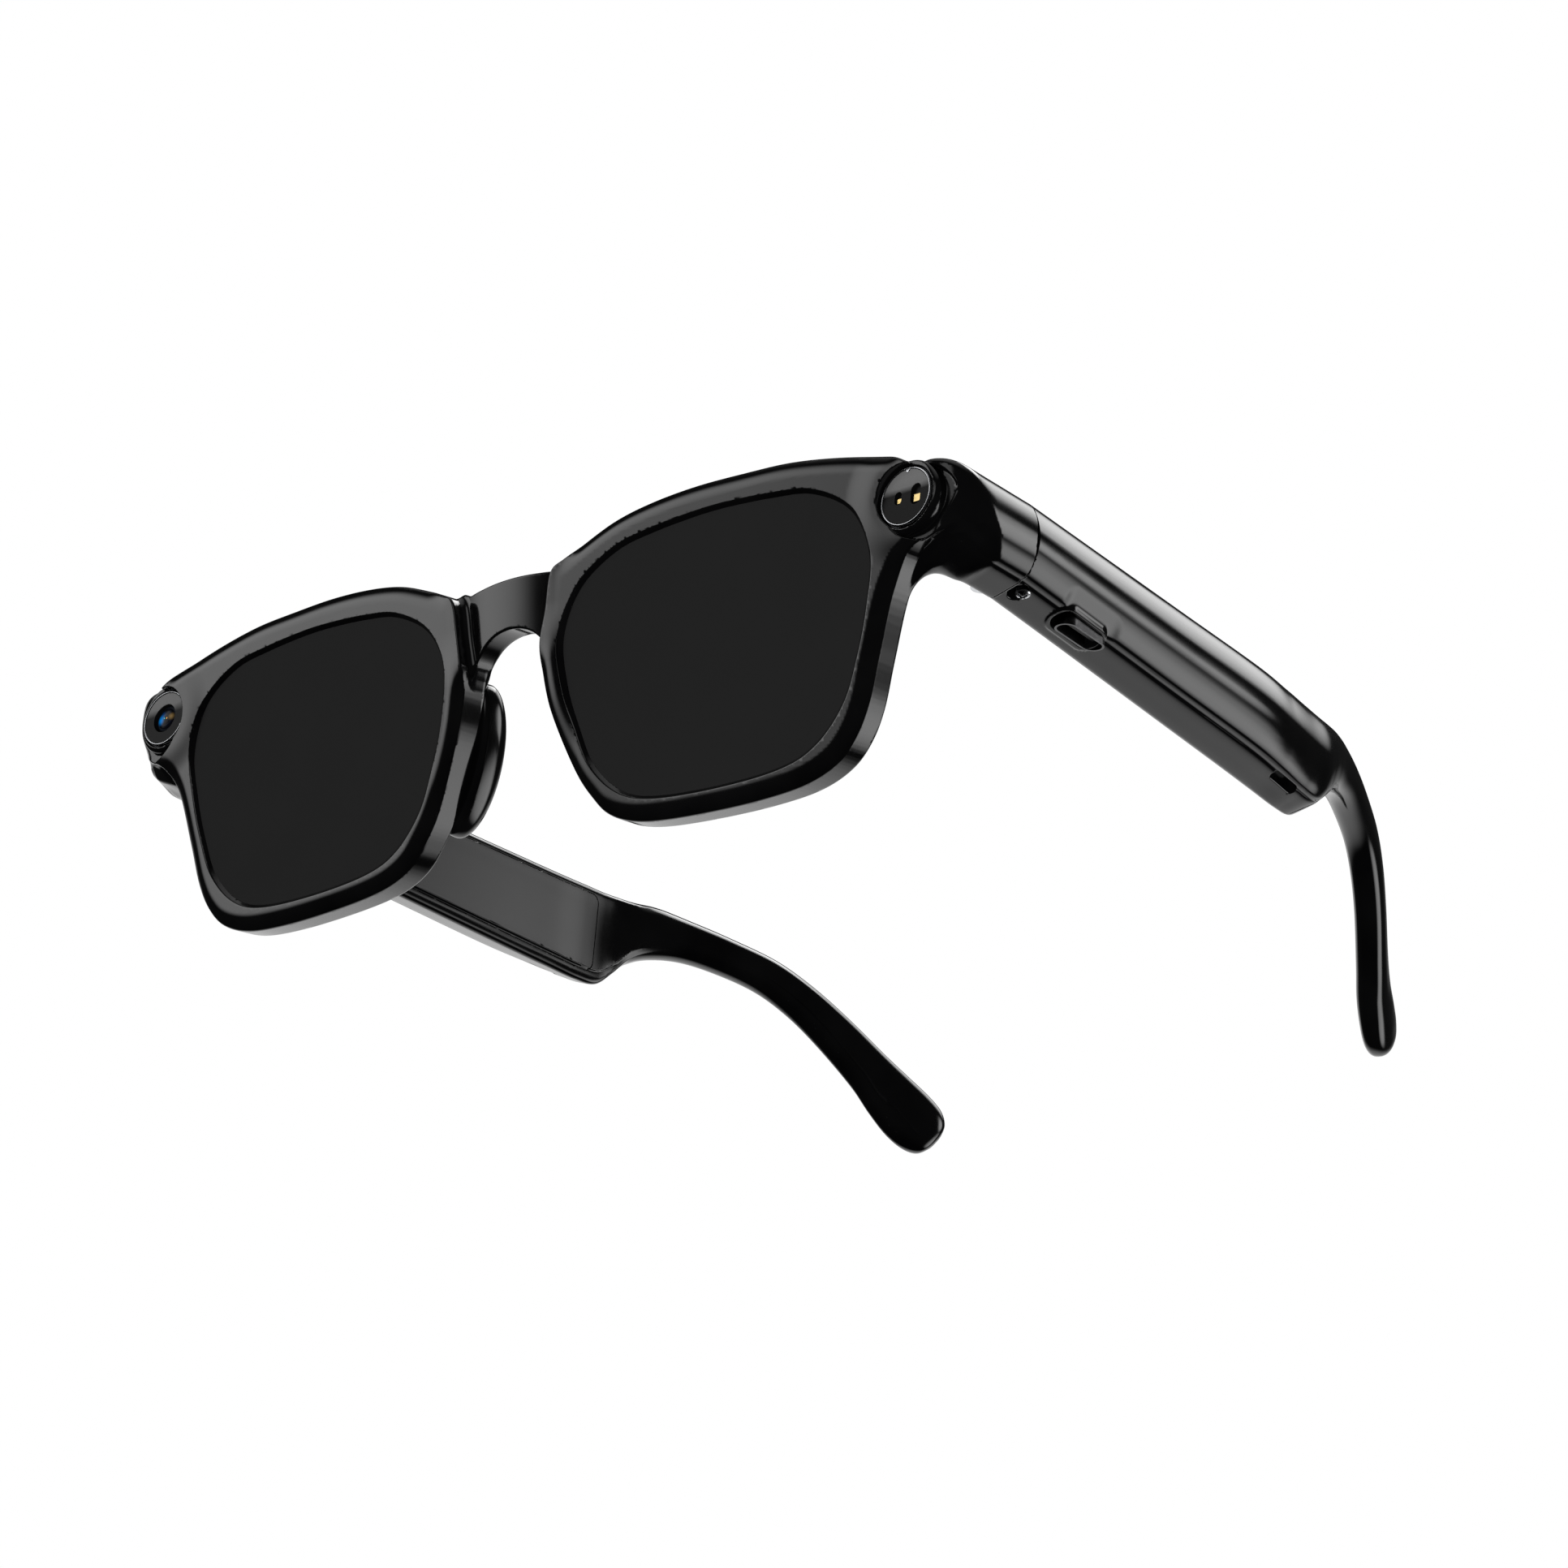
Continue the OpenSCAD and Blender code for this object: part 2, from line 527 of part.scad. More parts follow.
front_frame();
rear_brow_cover();
front_flex_cable();
lens_left();
lens_right();
nose_pad_left();
nose_pad_right();
camera_bezel();
camera_cover_disc();
camera_lens();
camera_barrel();
camera_sensor_board();
sensor_bezel();
sensor_window_disc();
sensor_leds();
sensor_board();
hinge_front_left();
hinge_front_right();
hinge_pin_left();
hinge_pin_right();
front_leaf_screws();
temple_shell_left();
temple_shell_right();
temple_cover_left();
temple_cover_right();
hinge_temple_left();
hinge_temple_right();
temple_leaf_screws_left();
temple_leaf_screws_right();
housing_screw_left();
housing_screw_right();
battery_left();
battery_right();
speaker_left();
speaker_right();
speaker_mesh_left();
speaker_mesh_right();
tip_core_left();
tip_core_right();
main_board();
touch_pad_film();
usb_c_shell();
usb_c_tongue();
aux_board();
microphones();
button_switch();
capture_button();
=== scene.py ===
import json
import math

import bpy
import numpy as np
from mathutils import Matrix, Vector


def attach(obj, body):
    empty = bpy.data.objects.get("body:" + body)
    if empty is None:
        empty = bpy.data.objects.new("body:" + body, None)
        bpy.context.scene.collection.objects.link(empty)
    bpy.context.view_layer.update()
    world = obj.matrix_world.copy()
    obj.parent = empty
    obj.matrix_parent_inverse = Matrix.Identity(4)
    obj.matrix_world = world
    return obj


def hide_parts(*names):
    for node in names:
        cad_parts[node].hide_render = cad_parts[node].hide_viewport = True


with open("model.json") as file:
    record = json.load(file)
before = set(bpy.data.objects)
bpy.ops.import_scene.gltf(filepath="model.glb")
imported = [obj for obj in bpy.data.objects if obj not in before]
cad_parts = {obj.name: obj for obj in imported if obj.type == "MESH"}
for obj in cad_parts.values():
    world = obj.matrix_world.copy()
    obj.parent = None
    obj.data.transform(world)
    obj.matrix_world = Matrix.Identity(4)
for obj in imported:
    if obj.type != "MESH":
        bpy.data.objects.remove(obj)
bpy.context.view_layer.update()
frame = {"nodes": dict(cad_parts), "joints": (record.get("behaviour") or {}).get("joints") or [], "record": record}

# ---- The design frame: millimetres, level temples, origin midway between the lens centres ----
HINGE_X, HINGE_Y, HINGE_Z = 66.4, 15.3, 12.0
# Middle of the sensor's front face on the left; the camera's is its mirror image
DISC_X, DISC_Y, DISC_Z = 66.7, -0.8, 13.1
FOLD = next(j for j in frame["joints"] if j["name"] == "left_temple_fold")
TILT = math.atan2(FOLD["axis"][1], FOLD["axis"][2])
SET_DOWN = Matrix.Rotation(-TILT, 3, "X")
SHIFT = Vector(FOLD["pos_m"]) * 1000 - SET_DOWN @ Vector((HINGE_X, HINGE_Y, HINGE_Z))
LEAN = math.radians(8.6)
WRAP = math.radians(2.6)
TOE_IN = math.radians(4.2)
LENS_X = 35.6
FACE, BACK = -0.5, 4.0
# The front ends at the seam, and the temples start behind it
SEAM, TEMPLE_START = 14.8, 15.2


def to_frame(points):
    """Design-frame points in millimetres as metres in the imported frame."""
    return (points @ np.array(SET_DOWN).T + np.array(SHIFT)) * 0.001


def turn_normals(normals):
    """Design-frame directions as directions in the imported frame."""
    return normals @ np.array(SET_DOWN).T


# ---- Curves ----
def spline(a, b, c, d, t):
    """The smooth curve from b to c at t, with neighbours a and d."""
    return 0.5 * (2 * b + (c - a) * t + (2 * a - 5 * b + 4 * c - d) * t ** 2 + (3 * b - a - 3 * c + d) * t ** 3)


def closed_curve(points, k):
    """Smooth closed curve through the points, with k steps between two of them."""
    p = np.array(points, float)
    t = (np.arange(k) / k)[None, :, None]
    return spline(*(np.roll(p, s, 0)[:, None] for s in (1, 0, -1, -2)), t).reshape(-1, 2)


def open_curve(points, t):
    """Smooth open curve through the points at t, which runs from 0 to their number less one."""
    p = np.array(points, float)
    p = np.vstack([p[:1], p, p[-1:]])
    i = np.clip(np.floor(t).astype(int), 0, len(points) - 2)
    return spline(p[i], p[i + 1], p[i + 2], p[i + 3], (t - i)[:, None])


# Outlines of the lens about its own middle, and of the rim, the bridge and the cable channel seen from the front
LENS = closed_curve([(24.2, 0), (25, 6.7), (22.5, 13), (16.7, 16.7), (10.2, 17.8), (0, 18.3), (-10.2, 17.6),
    (-16.3, 16.3), (-22, 12.7), (-24.9, 6.7), (-24.3, 0), (-22.4, -6), (-20, -11.5), (-15.7, -15.7),
    (-10.2, -17.6), (0, -18.3), (10.3, -17.9), (16, -16), (20.3, -11.7), (22.6, -6.1)], 12)
RIM = closed_curve([(64, 1.5), (66.6, 5), (70, 6.4), (73.2, 8.4), (73.8, 11.5), (72.2, 15.4), (67.7, 18),
    (62, 19.6), (55, 21.1), (48, 22.1), (41, 22.4), (33, 22.5), (25.7, 22), (19.5, 20.9), (14, 18.9),
    (10.8, 17.4), (8.7, 15.9), (7.8, 11), (6.9, 5.5), (7.6, 0), (9.2, -5), (12.3, -12), (15.1, -16), (17.5, -18.4),
    (20.9, -20), (25.5, -20.9), (33, -21.4), (42, -21.5), (49.5, -20.9), (54.6, -19.1), (57.7, -16.2),
    (59.8, -12.2), (61.5, -6.4)], 8)
BRIDGE_HALF = [(0, 17.4), (2.5, 17.35), (5, 17.2), (7.3, 17), (10, 16.6), (12, 5), (8.2, 4.2), (7, 5.6), (6.3, 7),
    (5.3, 8.2), (4, 9.3), (2.2, 10.1), (0, 10.4)]
BRIDGE = closed_curve(BRIDGE_HALF + [(-x, z) for x, z in BRIDGE_HALF[-2:0:-1]], 8)
BROW = open_curve([(0, 13.9), (7, 13.7), (11.5, 15), (16, 18.2), (25, 20.2), (35, 20.6), (45, 20.2), (54, 18.9),
    (60, 17.2)], np.linspace(0, 8, 65))
CHANNEL_HALF = 0.95
BROW_STRIP = np.vstack([BROW + (0, CHANNEL_HALF), BROW[::-1] - (0, CHANNEL_HALF)])
# The temple's section as shares of thickness and height, from the inner face round by the bottom
SECTION = closed_curve([(0, 0.5), (0, 0.3), (0, 0.16), (0.004, 0.14), (0.035, 0.125), (0.042, 0.1), (0.045, 0.06),
    (0.07, 0.02), (0.13, 0.002), (0.2, 0.008), (0.4, 0.042), (0.57, 0.072), (0.64, 0.089), (0.68, 0.108), (0.73, 0.115),
    (0.79, 0.134), (0.87, 0.195), (0.945, 0.3), (0.99, 0.4), (1, 0.49), (0.985, 0.59), (0.925, 0.72), (0.83, 0.84),
    (0.7, 0.925), (0.5, 0.98), (0.25, 1), (0.1, 0.985), (0.02, 0.945), (0, 0.88), (0, 0.7)], 6)
# Thickness and height of the hollow body and of the hook
BODY_T, BODY_H = 8.3, 14.0
HOOK_T, HOOK_H = 4.5, 7.0
END_SECTION = SECTION * (BODY_T, 13.1) + (67.6, 4.9)


class Outline:
    """Signed distance to a closed outline, negative inside, read from a fine raster with smooth steps."""

    def __init__(self, points, margin=6.0, cell=0.25):
        self.low = points.min(0) - margin
        self.cell = cell
        shape = np.ceil((points.max(0) + margin - self.low) / cell).astype(int) + 1
        axes = [self.low[k] + cell * np.arange(shape[k]) for k in (0, 1)]
        grid = np.stack(np.meshgrid(*axes, indexing="ij"), -1).reshape(-1, 2)
        parts = [self.exact(points, part) for part in np.array_split(grid, 24)]
        self.values = np.concatenate(parts).reshape(shape)

    @staticmethod
    def exact(outline, at):
        """Exact signed distances of places from the outline."""
        a, b = outline[None], np.roll(outline, -1, 0)[None]
        p = at[:, None]
        ab, ap = b - a, p - a
        t = np.clip((ap * ab).sum(-1) / (ab * ab).sum(-1), 0, 1)
        distance = np.sqrt(((ap - t[..., None] * ab) ** 2).sum(-1).min(1))
        crossing = (a[..., 1] > p[..., 1]) != (b[..., 1] > p[..., 1])
        with np.errstate(divide="ignore", invalid="ignore"):
            x = a[..., 0] + (p[..., 1] - a[..., 1]) * ab[..., 0] / ab[..., 1]
        inside = (crossing & (p[..., 0] < x)).sum(1) % 2 == 1
        return np.where(inside, -distance, distance)

    def __call__(self, x, y):
        q = (np.stack([x, y], -1) - self.low) / self.cell
        top = np.array(self.values.shape) - 3
        safe = np.clip(q, 1, top + 0.999)
        beyond = np.sqrt(((q - safe) ** 2).sum(-1)) * self.cell
        i = np.minimum(safe.astype(int), top)
        f = safe - i
        w = [((-f + 2) * f - 1) * f / 2, ((3 * f - 5) * f * f + 2) / 2,
            ((-3 * f + 4) * f + 1) * f / 2, (f - 1) * f * f / 2]
        total = 0
        for m in range(4):
            row = 0
            for n in range(4):
                row = row + w[n][:, 1] * self.values[i[:, 0] + m - 1, i[:, 1] + n - 1]
            total = total + w[m][:, 0] * row
        return total + beyond


# ---- Solids as fields: negative inside, about a millimetre for a millimetre ----
def both(a, b, r):
    """Where both solids are, with an edge of radius r."""
    return np.minimum(-r, np.maximum(a, b)) + np.hypot(np.maximum(r + a, 0), np.maximum(r + b, 0))


def either(a, b, r):
    """Where either solid is, with a hollow fillet of radius r."""
    return -both(-a, -b, r)


def without(a, b, r):
    """The first solid less the second, with an edge of radius r."""
    return both(a, -b, r)


def stadium(along, across, length, width):
    """Outline of a slot with round ends."""
    return np.hypot(np.maximum(np.abs(along) - (length - width) / 2, 0), across) - width / 2


def smooth_step(t):
    """From 0 to 1 with soft ends as t goes from 0 to 1."""
    t = np.clip(t, 0, 1)
    return t * t * (3 - 2 * t)


def gradient(field, points, e=0.03):
    """The field's slope at the points, which is the surface normal there."""
    steps = np.eye(3) * e
    return np.stack([(field(points + s) - field(points - s)) / (2 * e) for s in steps], -1)


# Grid cells to a side of the blocks that the coarse pass looks at
BLOCK = 4
# Edges that bend by more degrees than this are halved
BEND_LIMIT = 14


def sample(field, axes, step):
    """Field values on a grid: exact near the surface, a coarse estimate elsewhere."""
    n = [len(axis) for axis in axes]
    blocks = [int(math.ceil(m / BLOCK)) for m in n]
    middles = [axis[0] + step * (BLOCK * np.arange(m) + (BLOCK - 1) / 2) for axis, m in zip(axes, blocks)]
    grid = np.stack(np.meshgrid(*middles, indexing="ij"), -1).reshape(-1, 3)
    coarse = field(grid).reshape(blocks)
    near = np.argwhere(np.abs(coarse) < 1.5 * step * BLOCK)
    values = np.kron(coarse, np.ones((BLOCK,) * 3))
    offsets = np.stack(np.meshgrid(*[np.arange(BLOCK)] * 3, indexing="ij"), -1).reshape(-1, 3)
    for part in np.array_split(near, max(1, len(near) // 4000)):
        index = (part[:, None] * BLOCK + offsets[None]).reshape(-1, 3)
        at = np.array([axis[0] for axis in axes]) + step * index
        values[tuple(index.T)] = field(at)
    return values[:n[0], :n[1], :n[2]]


def pull(field, points, step):
    """Moves points onto the surface and gives the gradients there."""
    for _ in range(3):
        g = gradient(field, points)
        move = g * (field(points) / np.maximum((g * g).sum(-1), 0.05))[:, None]
        size = np.maximum(np.linalg.norm(move, axis=1), 1e-9)
        points = points - move * np.minimum(1, 0.5 * step / size)[:, None]
    return points, gradient(field, points)


def refine(field, points, faces, g, bend_limit, shortest):
    """Halves the edges over which the surface bends by more than bend_limit degrees."""
    unit = g / np.maximum(np.linalg.norm(g, axis=1), 1e-9)[:, None]
    sides = np.stack([faces, np.roll(faces, -1, 1)], -1)
    edges, inverse = np.unique(np.sort(sides.reshape(-1, 2), axis=1), axis=0, return_inverse=True)
    inverse = inverse.reshape(-1, 3)
    a, b = edges.T
    marked = (unit[a] * unit[b]).sum(-1) < math.cos(math.radians(bend_limit))
    marked &= np.linalg.norm(points[a] - points[b], axis=1) > shortest
    new_points, new_g = pull(field, (points[a[marked]] + points[b[marked]]) / 2, shortest)
    new_index = np.full(len(edges), -1)
    new_index[marked] = len(points) + np.arange(marked.sum())
    middle = new_index[inverse]
    split = middle >= 0
    out = [faces[~split.any(1)]]
    count = split.sum(1)
    for turn in range(3):
        f, m = np.roll(faces, -turn, 1), np.roll(middle, -turn, 1)
        k = np.roll(split, -turn, 1)
        one = (count == 1) & k[:, 0]
        a, b, c, p = f[one, 0], f[one, 1], f[one, 2], m[one, 0]
        out += [np.stack([a, p, c], -1), np.stack([p, b, c], -1)]
        two = (count == 2) & k[:, 0] & k[:, 1]
        a, b, c, p, q = f[two, 0], f[two, 1], f[two, 2], m[two, 0], m[two, 1]
        out += [np.stack([p, b, q], -1), np.stack([a, p, c], -1), np.stack([p, q, c], -1)]
    every = count == 3
    a, b, c = faces[every].T
    p, q, r = middle[every].T
    out += [np.stack(t, -1) for t in ((a, p, r), (p, b, q), (r, q, c), (p, q, r))]
    return np.vstack([points, new_points]), np.vstack(out), np.vstack([g, new_g])


def surface(field, low, high, step, rounds=2):
    """Points, triangles and field gradients of the surface field = 0, by surface nets pulled onto the surface."""
    low = np.array(low, float)
    n = [int(math.ceil((b - a) / step)) + 1 for a, b in zip(low, high)]
    axes = [low[k] + step * np.arange(n[k]) for k in range(3)]
    values = sample(field, axes, step)
    cells = [m - 1 for m in n]
    total, number = np.zeros(cells + [3]), np.zeros(cells)
    for axis in range(3):
        u, v = (k for k in range(3) if k != axis)
        for du in (0, 1):
            for dv in (0, 1):
                near = [slice(0, m) for m in cells]
                near[u], near[v] = slice(du, cells[u] + du), slice(dv, cells[v] + dv)
                far = list(near)
                far[axis] = slice(1, n[axis])
                a, b = values[tuple(near)], values[tuple(far)]
                cross = (a < 0) != (b < 0)
                total[..., axis] += np.where(cross, a / np.where(cross, a - b, 1), 0)
                total[..., u] += cross * du
                total[..., v] += cross * dv
                number += cross
    active = number > 0
    index = np.full(cells, -1)
    index[active] = np.arange(active.sum())
    points = low + step * (np.argwhere(active) + total[active] / number[active][:, None])
    quads = []
    for axis in range(3):
        u, v = (axis + 1) % 3, (axis + 2) % 3
        near = [slice(None)] * 3
        near[axis], near[u], near[v] = slice(0, n[axis] - 1), slice(1, n[u] - 1), slice(1, n[v] - 1)
        far = list(near)
        far[axis] = slice(1, n[axis])
        a, b = values[tuple(near)], values[tuple(far)]
        at = np.argwhere((a < 0) != (b < 0))
        inner = a[tuple(at.T)] < 0
        corners = []
        for cu, cv in ((0, 0), (1, 0), (1, 1), (0, 1)):
            c = at.copy()
            c[:, u] += cu
            c[:, v] += cv
            corners.append(index[tuple(c.T)])
        q = np.stack(corners, -1)
        quads.append(np.where(inner[:, None], q, q[:, ::-1]))
    points, g = pull(field, points, step)
    quads = np.vstack(quads)
    faces = np.vstack([quads[:, [0, 1, 2]], quads[:, [0, 2, 3]]])
    for _ in range(rounds):
        points, faces, g = refine(field, points, faces, g, BEND_LIMIT, step * 0.25)
    return points, faces, g


def add_piece(name, points, faces, body, material, normals=None):
    """A mesh piece from design-frame points, riding on a body."""
    mesh = bpy.data.meshes.new(name)
    mesh.from_pydata(to_frame(points).tolist(), [], [list(map(int, f)) for f in faces])
    mesh.polygons.foreach_set("use_smooth", [True] * len(mesh.polygons))
    mesh.update()
    if normals is not None:
        turned = turn_normals(normals)
        turned /= np.linalg.norm(turned, axis=1)[:, None]
        mesh.normals_split_custom_set_from_vertices(turned.tolist())
    obj = bpy.data.objects.new(name, mesh)
    bpy.context.scene.collection.objects.link(obj)
    mesh.materials.append(material)
    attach(obj, body)
    return obj


def mirrored(points, faces, normals):
    """The same surface on the wearer's other side."""
    flip = np.array([-1, 1, 1])
    return points * flip, faces[:, ::-1], normals * flip


# ---- Materials ----
def new_material(name):
    material = bpy.data.materials.new(name)
    material.use_nodes = True
    tree = material.node_tree
    return material, tree, tree.nodes["Principled BSDF"]


def noise(tree, scale, detail=3.0, rough=0.5):
    """Noise fixed to the piece; scale is about its features to a metre."""
    where = tree.nodes.new("ShaderNodeTexCoord")
    node = tree.nodes.new("ShaderNodeTexNoise")
    node.inputs["Scale"].default_value = scale
    node.inputs["Detail"].default_value = detail
    node.inputs["Roughness"].default_value = rough
    tree.links.new(where.outputs["Object"], node.inputs["Vector"])
    return node


def ramp(tree, source, low, high, start=0.3, end=0.7):
    """From low to high as the source goes from start to end."""
    node = tree.nodes.new("ShaderNodeMapRange")
    for key, value in (("From Min", start), ("From Max", end), ("To Min", low), ("To Max", high)):
        node.inputs[key].default_value = value
    tree.links.new(source, node.inputs["Value"])
    return node.outputs["Result"]


def bump(tree, shader, source, strength):
    """Fine unevenness of the surface, 10 micrometres deep at full strength."""
    node = tree.nodes.new("ShaderNodeBump")
    node.inputs["Strength"].default_value = strength
    node.inputs["Distance"].default_value = 0.00001
    tree.links.new(source, node.inputs["Height"])
    tree.links.new(node.outputs["Normal"], shader.inputs["Normal"])


def colours(tree, shader, source, stops):
    """Base colour along a ramp of stops, each a position and a colour."""
    node = tree.nodes.new("ShaderNodeValToRGB")
    for element, (position, colour) in zip(node.color_ramp.elements, (stops[0], stops[-1])):
        element.position, element.color = position, (*colour, 1)
    for position, colour in stops[1:-1]:
        node.color_ramp.elements.new(position).color = (*colour, 1)
    tree.links.new(source, node.inputs["Fac"])
    tree.links.new(node.outputs["Color"], shader.inputs["Base Color"])


def plastic(name, dark, light, rough, specular=0.5, wave=0.0):
    """Moulded plastic: faint tone changes, a smudged polish and a slight orange peel."""
    material, tree, shader = new_material(name)
    colours(tree, shader, noise(tree, 90).outputs["Fac"], [(0.3, dark), (0.7, light)])
    tree.links.new(ramp(tree, noise(tree, 160, 5).outputs["Fac"], *rough), shader.inputs["Roughness"])
    shader.inputs["Specular IOR Level"].default_value = specular
    bump(tree, shader, noise(tree, 2600, 2).outputs["Fac"], wave)
    return material


def metal(name, dark, light, rough):
    """Machined metal: fine tone changes and an uneven polish."""
    material, tree, shader = new_material(name)
    shader.inputs["Metallic"].default_value = 1.0
    colours(tree, shader, noise(tree, 700).outputs["Fac"], [(0.3, dark), (0.7, light)])
    tree.links.new(ramp(tree, noise(tree, 1800, 4).outputs["Fac"], *rough), shader.inputs["Roughness"])
    bump(tree, shader, noise(tree, 6000, 2).outputs["Fac"], 0.05)
    return material


GLOSS = plastic("gloss_black", (0.0006, 0.0006, 0.0007), (0.002, 0.002, 0.0021), (0.09, 0.13), 0.5, 0.02)
TINT = plastic("lens_tint", (0.0125, 0.0125, 0.0125), (0.0131, 0.0131, 0.0131), (0.3, 0.34), 0.01, 0.0)


def disc_plastic():
    """Grey plastic, with painted shade that turns it black inside the pockets behind the disc's front plane."""
    material, tree, shader = new_material("disc_grey")
    into = np.array([0, math.cos(LEAN), -math.sin(LEAN)])
    disc = frame["nodes"]["sensor_window_disc"].data
    front_plane = min(float(turn_normals(into) @ np.array(v.co)) for v in disc.vertices)
    where = tree.nodes.new("ShaderNodeTexCoord")
    depth = tree.nodes.new("ShaderNodeVectorMath")
    depth.operation = "DOT_PRODUCT"
    depth.inputs[1].default_value = turn_normals(into)
    tree.links.new(where.outputs["Object"], depth.inputs[0])
    # Painted shade in the pockets: one as far as 0.2 mm behind the front face, and nought from 0.5 mm
    outside_pocket_shade = ramp(tree, depth.outputs["Value"], 1, 0, front_plane + 0.0002, front_plane + 0.0005)
    shade = tree.nodes.new("ShaderNodeMath")
    shade.operation = "MULTIPLY"
    tree.links.new(noise(tree, 90).outputs["Fac"], shade.inputs[0])
    tree.links.new(outside_pocket_shade, shade.inputs[1])
    black, grey, light_grey = (0.002, 0.002, 0.002), (0.12, 0.12, 0.12), (0.135, 0.135, 0.135)
    # Where the mask is nought the colour is black, painted shade in the pockets
    colours(tree, shader, shade.outputs["Value"], [(0.0, black), (0.05, black), (0.3, grey), (0.7, light_grey)])
    shader.inputs["Roughness"].default_value = 0.43
    shader.inputs["Specular IOR Level"].default_value = 0.1
    bump(tree, shader, noise(tree, 2600, 2).outputs["Fac"], 0.1)
    return material


DISC = disc_plastic()
INNER = plastic("inner_black", (0.004, 0.004, 0.004), (0.01, 0.01, 0.01), (0.4, 0.55), 0.4, 0.2)
STEEL = metal("steel", (0.5, 0.51, 0.53), (0.68, 0.69, 0.71), (0.2, 0.3))
RING_STEEL = metal("bezel_steel", (0.55, 0.56, 0.58), (0.7, 0.71, 0.73), (0.2, 0.28))
BOARD = plastic("board_green", (0.01, 0.1, 0.05), (0.02, 0.18, 0.09), (0.3, 0.4), 0.5, 0.2)
FLEX = plastic("flex_orange", (0.4, 0.16, 0.03), (0.55, 0.25, 0.05), (0.25, 0.35), 0.5, 0.1)
FOIL = metal("battery_foil", (0.5, 0.5, 0.52), (0.62, 0.63, 0.66), (0.3, 0.42))
MESH = metal("mesh_black", (0.02, 0.02, 0.02), (0.04, 0.04, 0.04), (0.4, 0.5))
GOLD = metal("led_gold", (0.5, 0.36, 0.13), (0.62, 0.48, 0.22), (0.25, 0.35))
# A darker copy of the steel: painted shade for the socket's shell, which sits in shadow
SHADED_SHELL_STEEL = metal("shaded_shell_steel", (0.06, 0.06, 0.062), (0.09, 0.09, 0.092), (0.3, 0.4))
CAMERA_AT = to_frame(np.array([[-DISC_X, DISC_Y, DISC_Z]]))[0]


def nearness(tree, where, offset, reach):
    """One at a place beside the camera's middle, fading to nought at the reach, both in millimetres."""
    node = tree.nodes.new("ShaderNodeVectorMath")
    node.operation = "DISTANCE"
    flat = tree.nodes.new("ShaderNodeVectorMath")
    flat.operation = "MULTIPLY"
    flat.inputs[1].default_value = (1, 0, 1)
    tree.links.new(where.outputs["Object"], flat.inputs[0])
    tree.links.new(flat.outputs["Vector"], node.inputs[0])
    node.inputs[1].default_value = (CAMERA_AT[0] + offset[0] * 0.001, 0, CAMERA_AT[2] + offset[1] * 0.001)
    fade = tree.nodes.new("ShaderNodeMapRange")
    fade.interpolation_type = "SMOOTHSTEP"
    fade.inputs["From Max"].default_value = reach * 0.001
    fade.inputs["To Min"].default_value = 1
    fade.inputs["To Max"].default_value = 0
    tree.links.new(node.outputs["Value"], fade.inputs["Value"])
    return fade.outputs["Result"]


# Painted reflections that glow on the glass, the coating's tints and two glints: place beside the middle and reach in
# millimetres, and colour
PAINTED_COATING_GLOWS = [
    ((-0.95, -0.1), 0.95, (0.0, 0.16, 0.5)),
    ((-0.6, 0.5), 0.8, (0.0, 0.03, 0.12)),
    ((1.0, 0.15), 0.7, (0.16, 0.1, 0.03)),
    ((-0.2, 0.05), 0.16, (0.1, 0.8, 0.9)),
    ((0.25, 0.0), 0.2, (0.9, 0.45, 0.12))]


def camera_glass():
    """Coated glass over dark rings, with painted reflections that glow: the coating's blue and amber tints and two
    small glints.
    """
    material, tree, shader = new_material("camera_glass")
    where = tree.nodes.new("ShaderNodeTexCoord")
    radial = nearness(tree, where, (0, 0), 2.1)
    colours(tree, shader, radial, [(0.0, (0.002, 0.002, 0.003)), (0.12, (0.01, 0.012, 0.016)),
        (0.2, (0.002, 0.002, 0.003)), (0.45, (0.002, 0.003, 0.006)), (0.52, (0.012, 0.014, 0.02)),
        (0.6, (0.001, 0.001, 0.003)), (1, (0, 0, 0.001))])
    shader.inputs["Roughness"].default_value = 0.06
    shader.inputs["Specular IOR Level"].default_value = 0.1
    total = None
    for offset, reach, colour in PAINTED_COATING_GLOWS:
        glow = tree.nodes.new("ShaderNodeVectorMath")
        glow.operation = "SCALE"
        glow.inputs[0].default_value = colour
        tree.links.new(nearness(tree, where, offset, reach), glow.inputs["Scale"])
        if total is None:
            total = glow.outputs["Vector"]
            continue
        add = tree.nodes.new("ShaderNodeVectorMath")
        tree.links.new(total, add.inputs[0])
        tree.links.new(glow.outputs["Vector"], add.inputs[1])
        total = add.outputs["Vector"]
    # Painted reflections: the tints and glints glow through the emission, not from the lamps
    tree.links.new(total, shader.inputs["Emission Color"])
    shader.inputs["Emission Strength"].default_value = 1.0
    return material


GLASS = camera_glass()
BY_SLOT = {"gloss_black": GLOSS, "lens_tint": TINT, "disc_grey": DISC, "inner_black": INNER, "steel": STEEL,
    "bezel_steel": RING_STEEL, "board_green": BOARD, "flex_orange": FLEX, "battery_foil": FOIL, "mesh_black": MESH,
    "led_gold": GOLD, "camera_glass": GLASS}

for subpart in frame["record"]["subparts"]:
    slots = frame["nodes"][subpart["node"]].data.materials
    slots.clear()
    slots.append(BY_SLOT[subpart["material_slot"]])
# The socket's shell gets a darker copy of the steel, painted shade for the shadow it sits in
frame["nodes"]["usb_c_shell"].data.materials[0] = SHADED_SHELL_STEEL


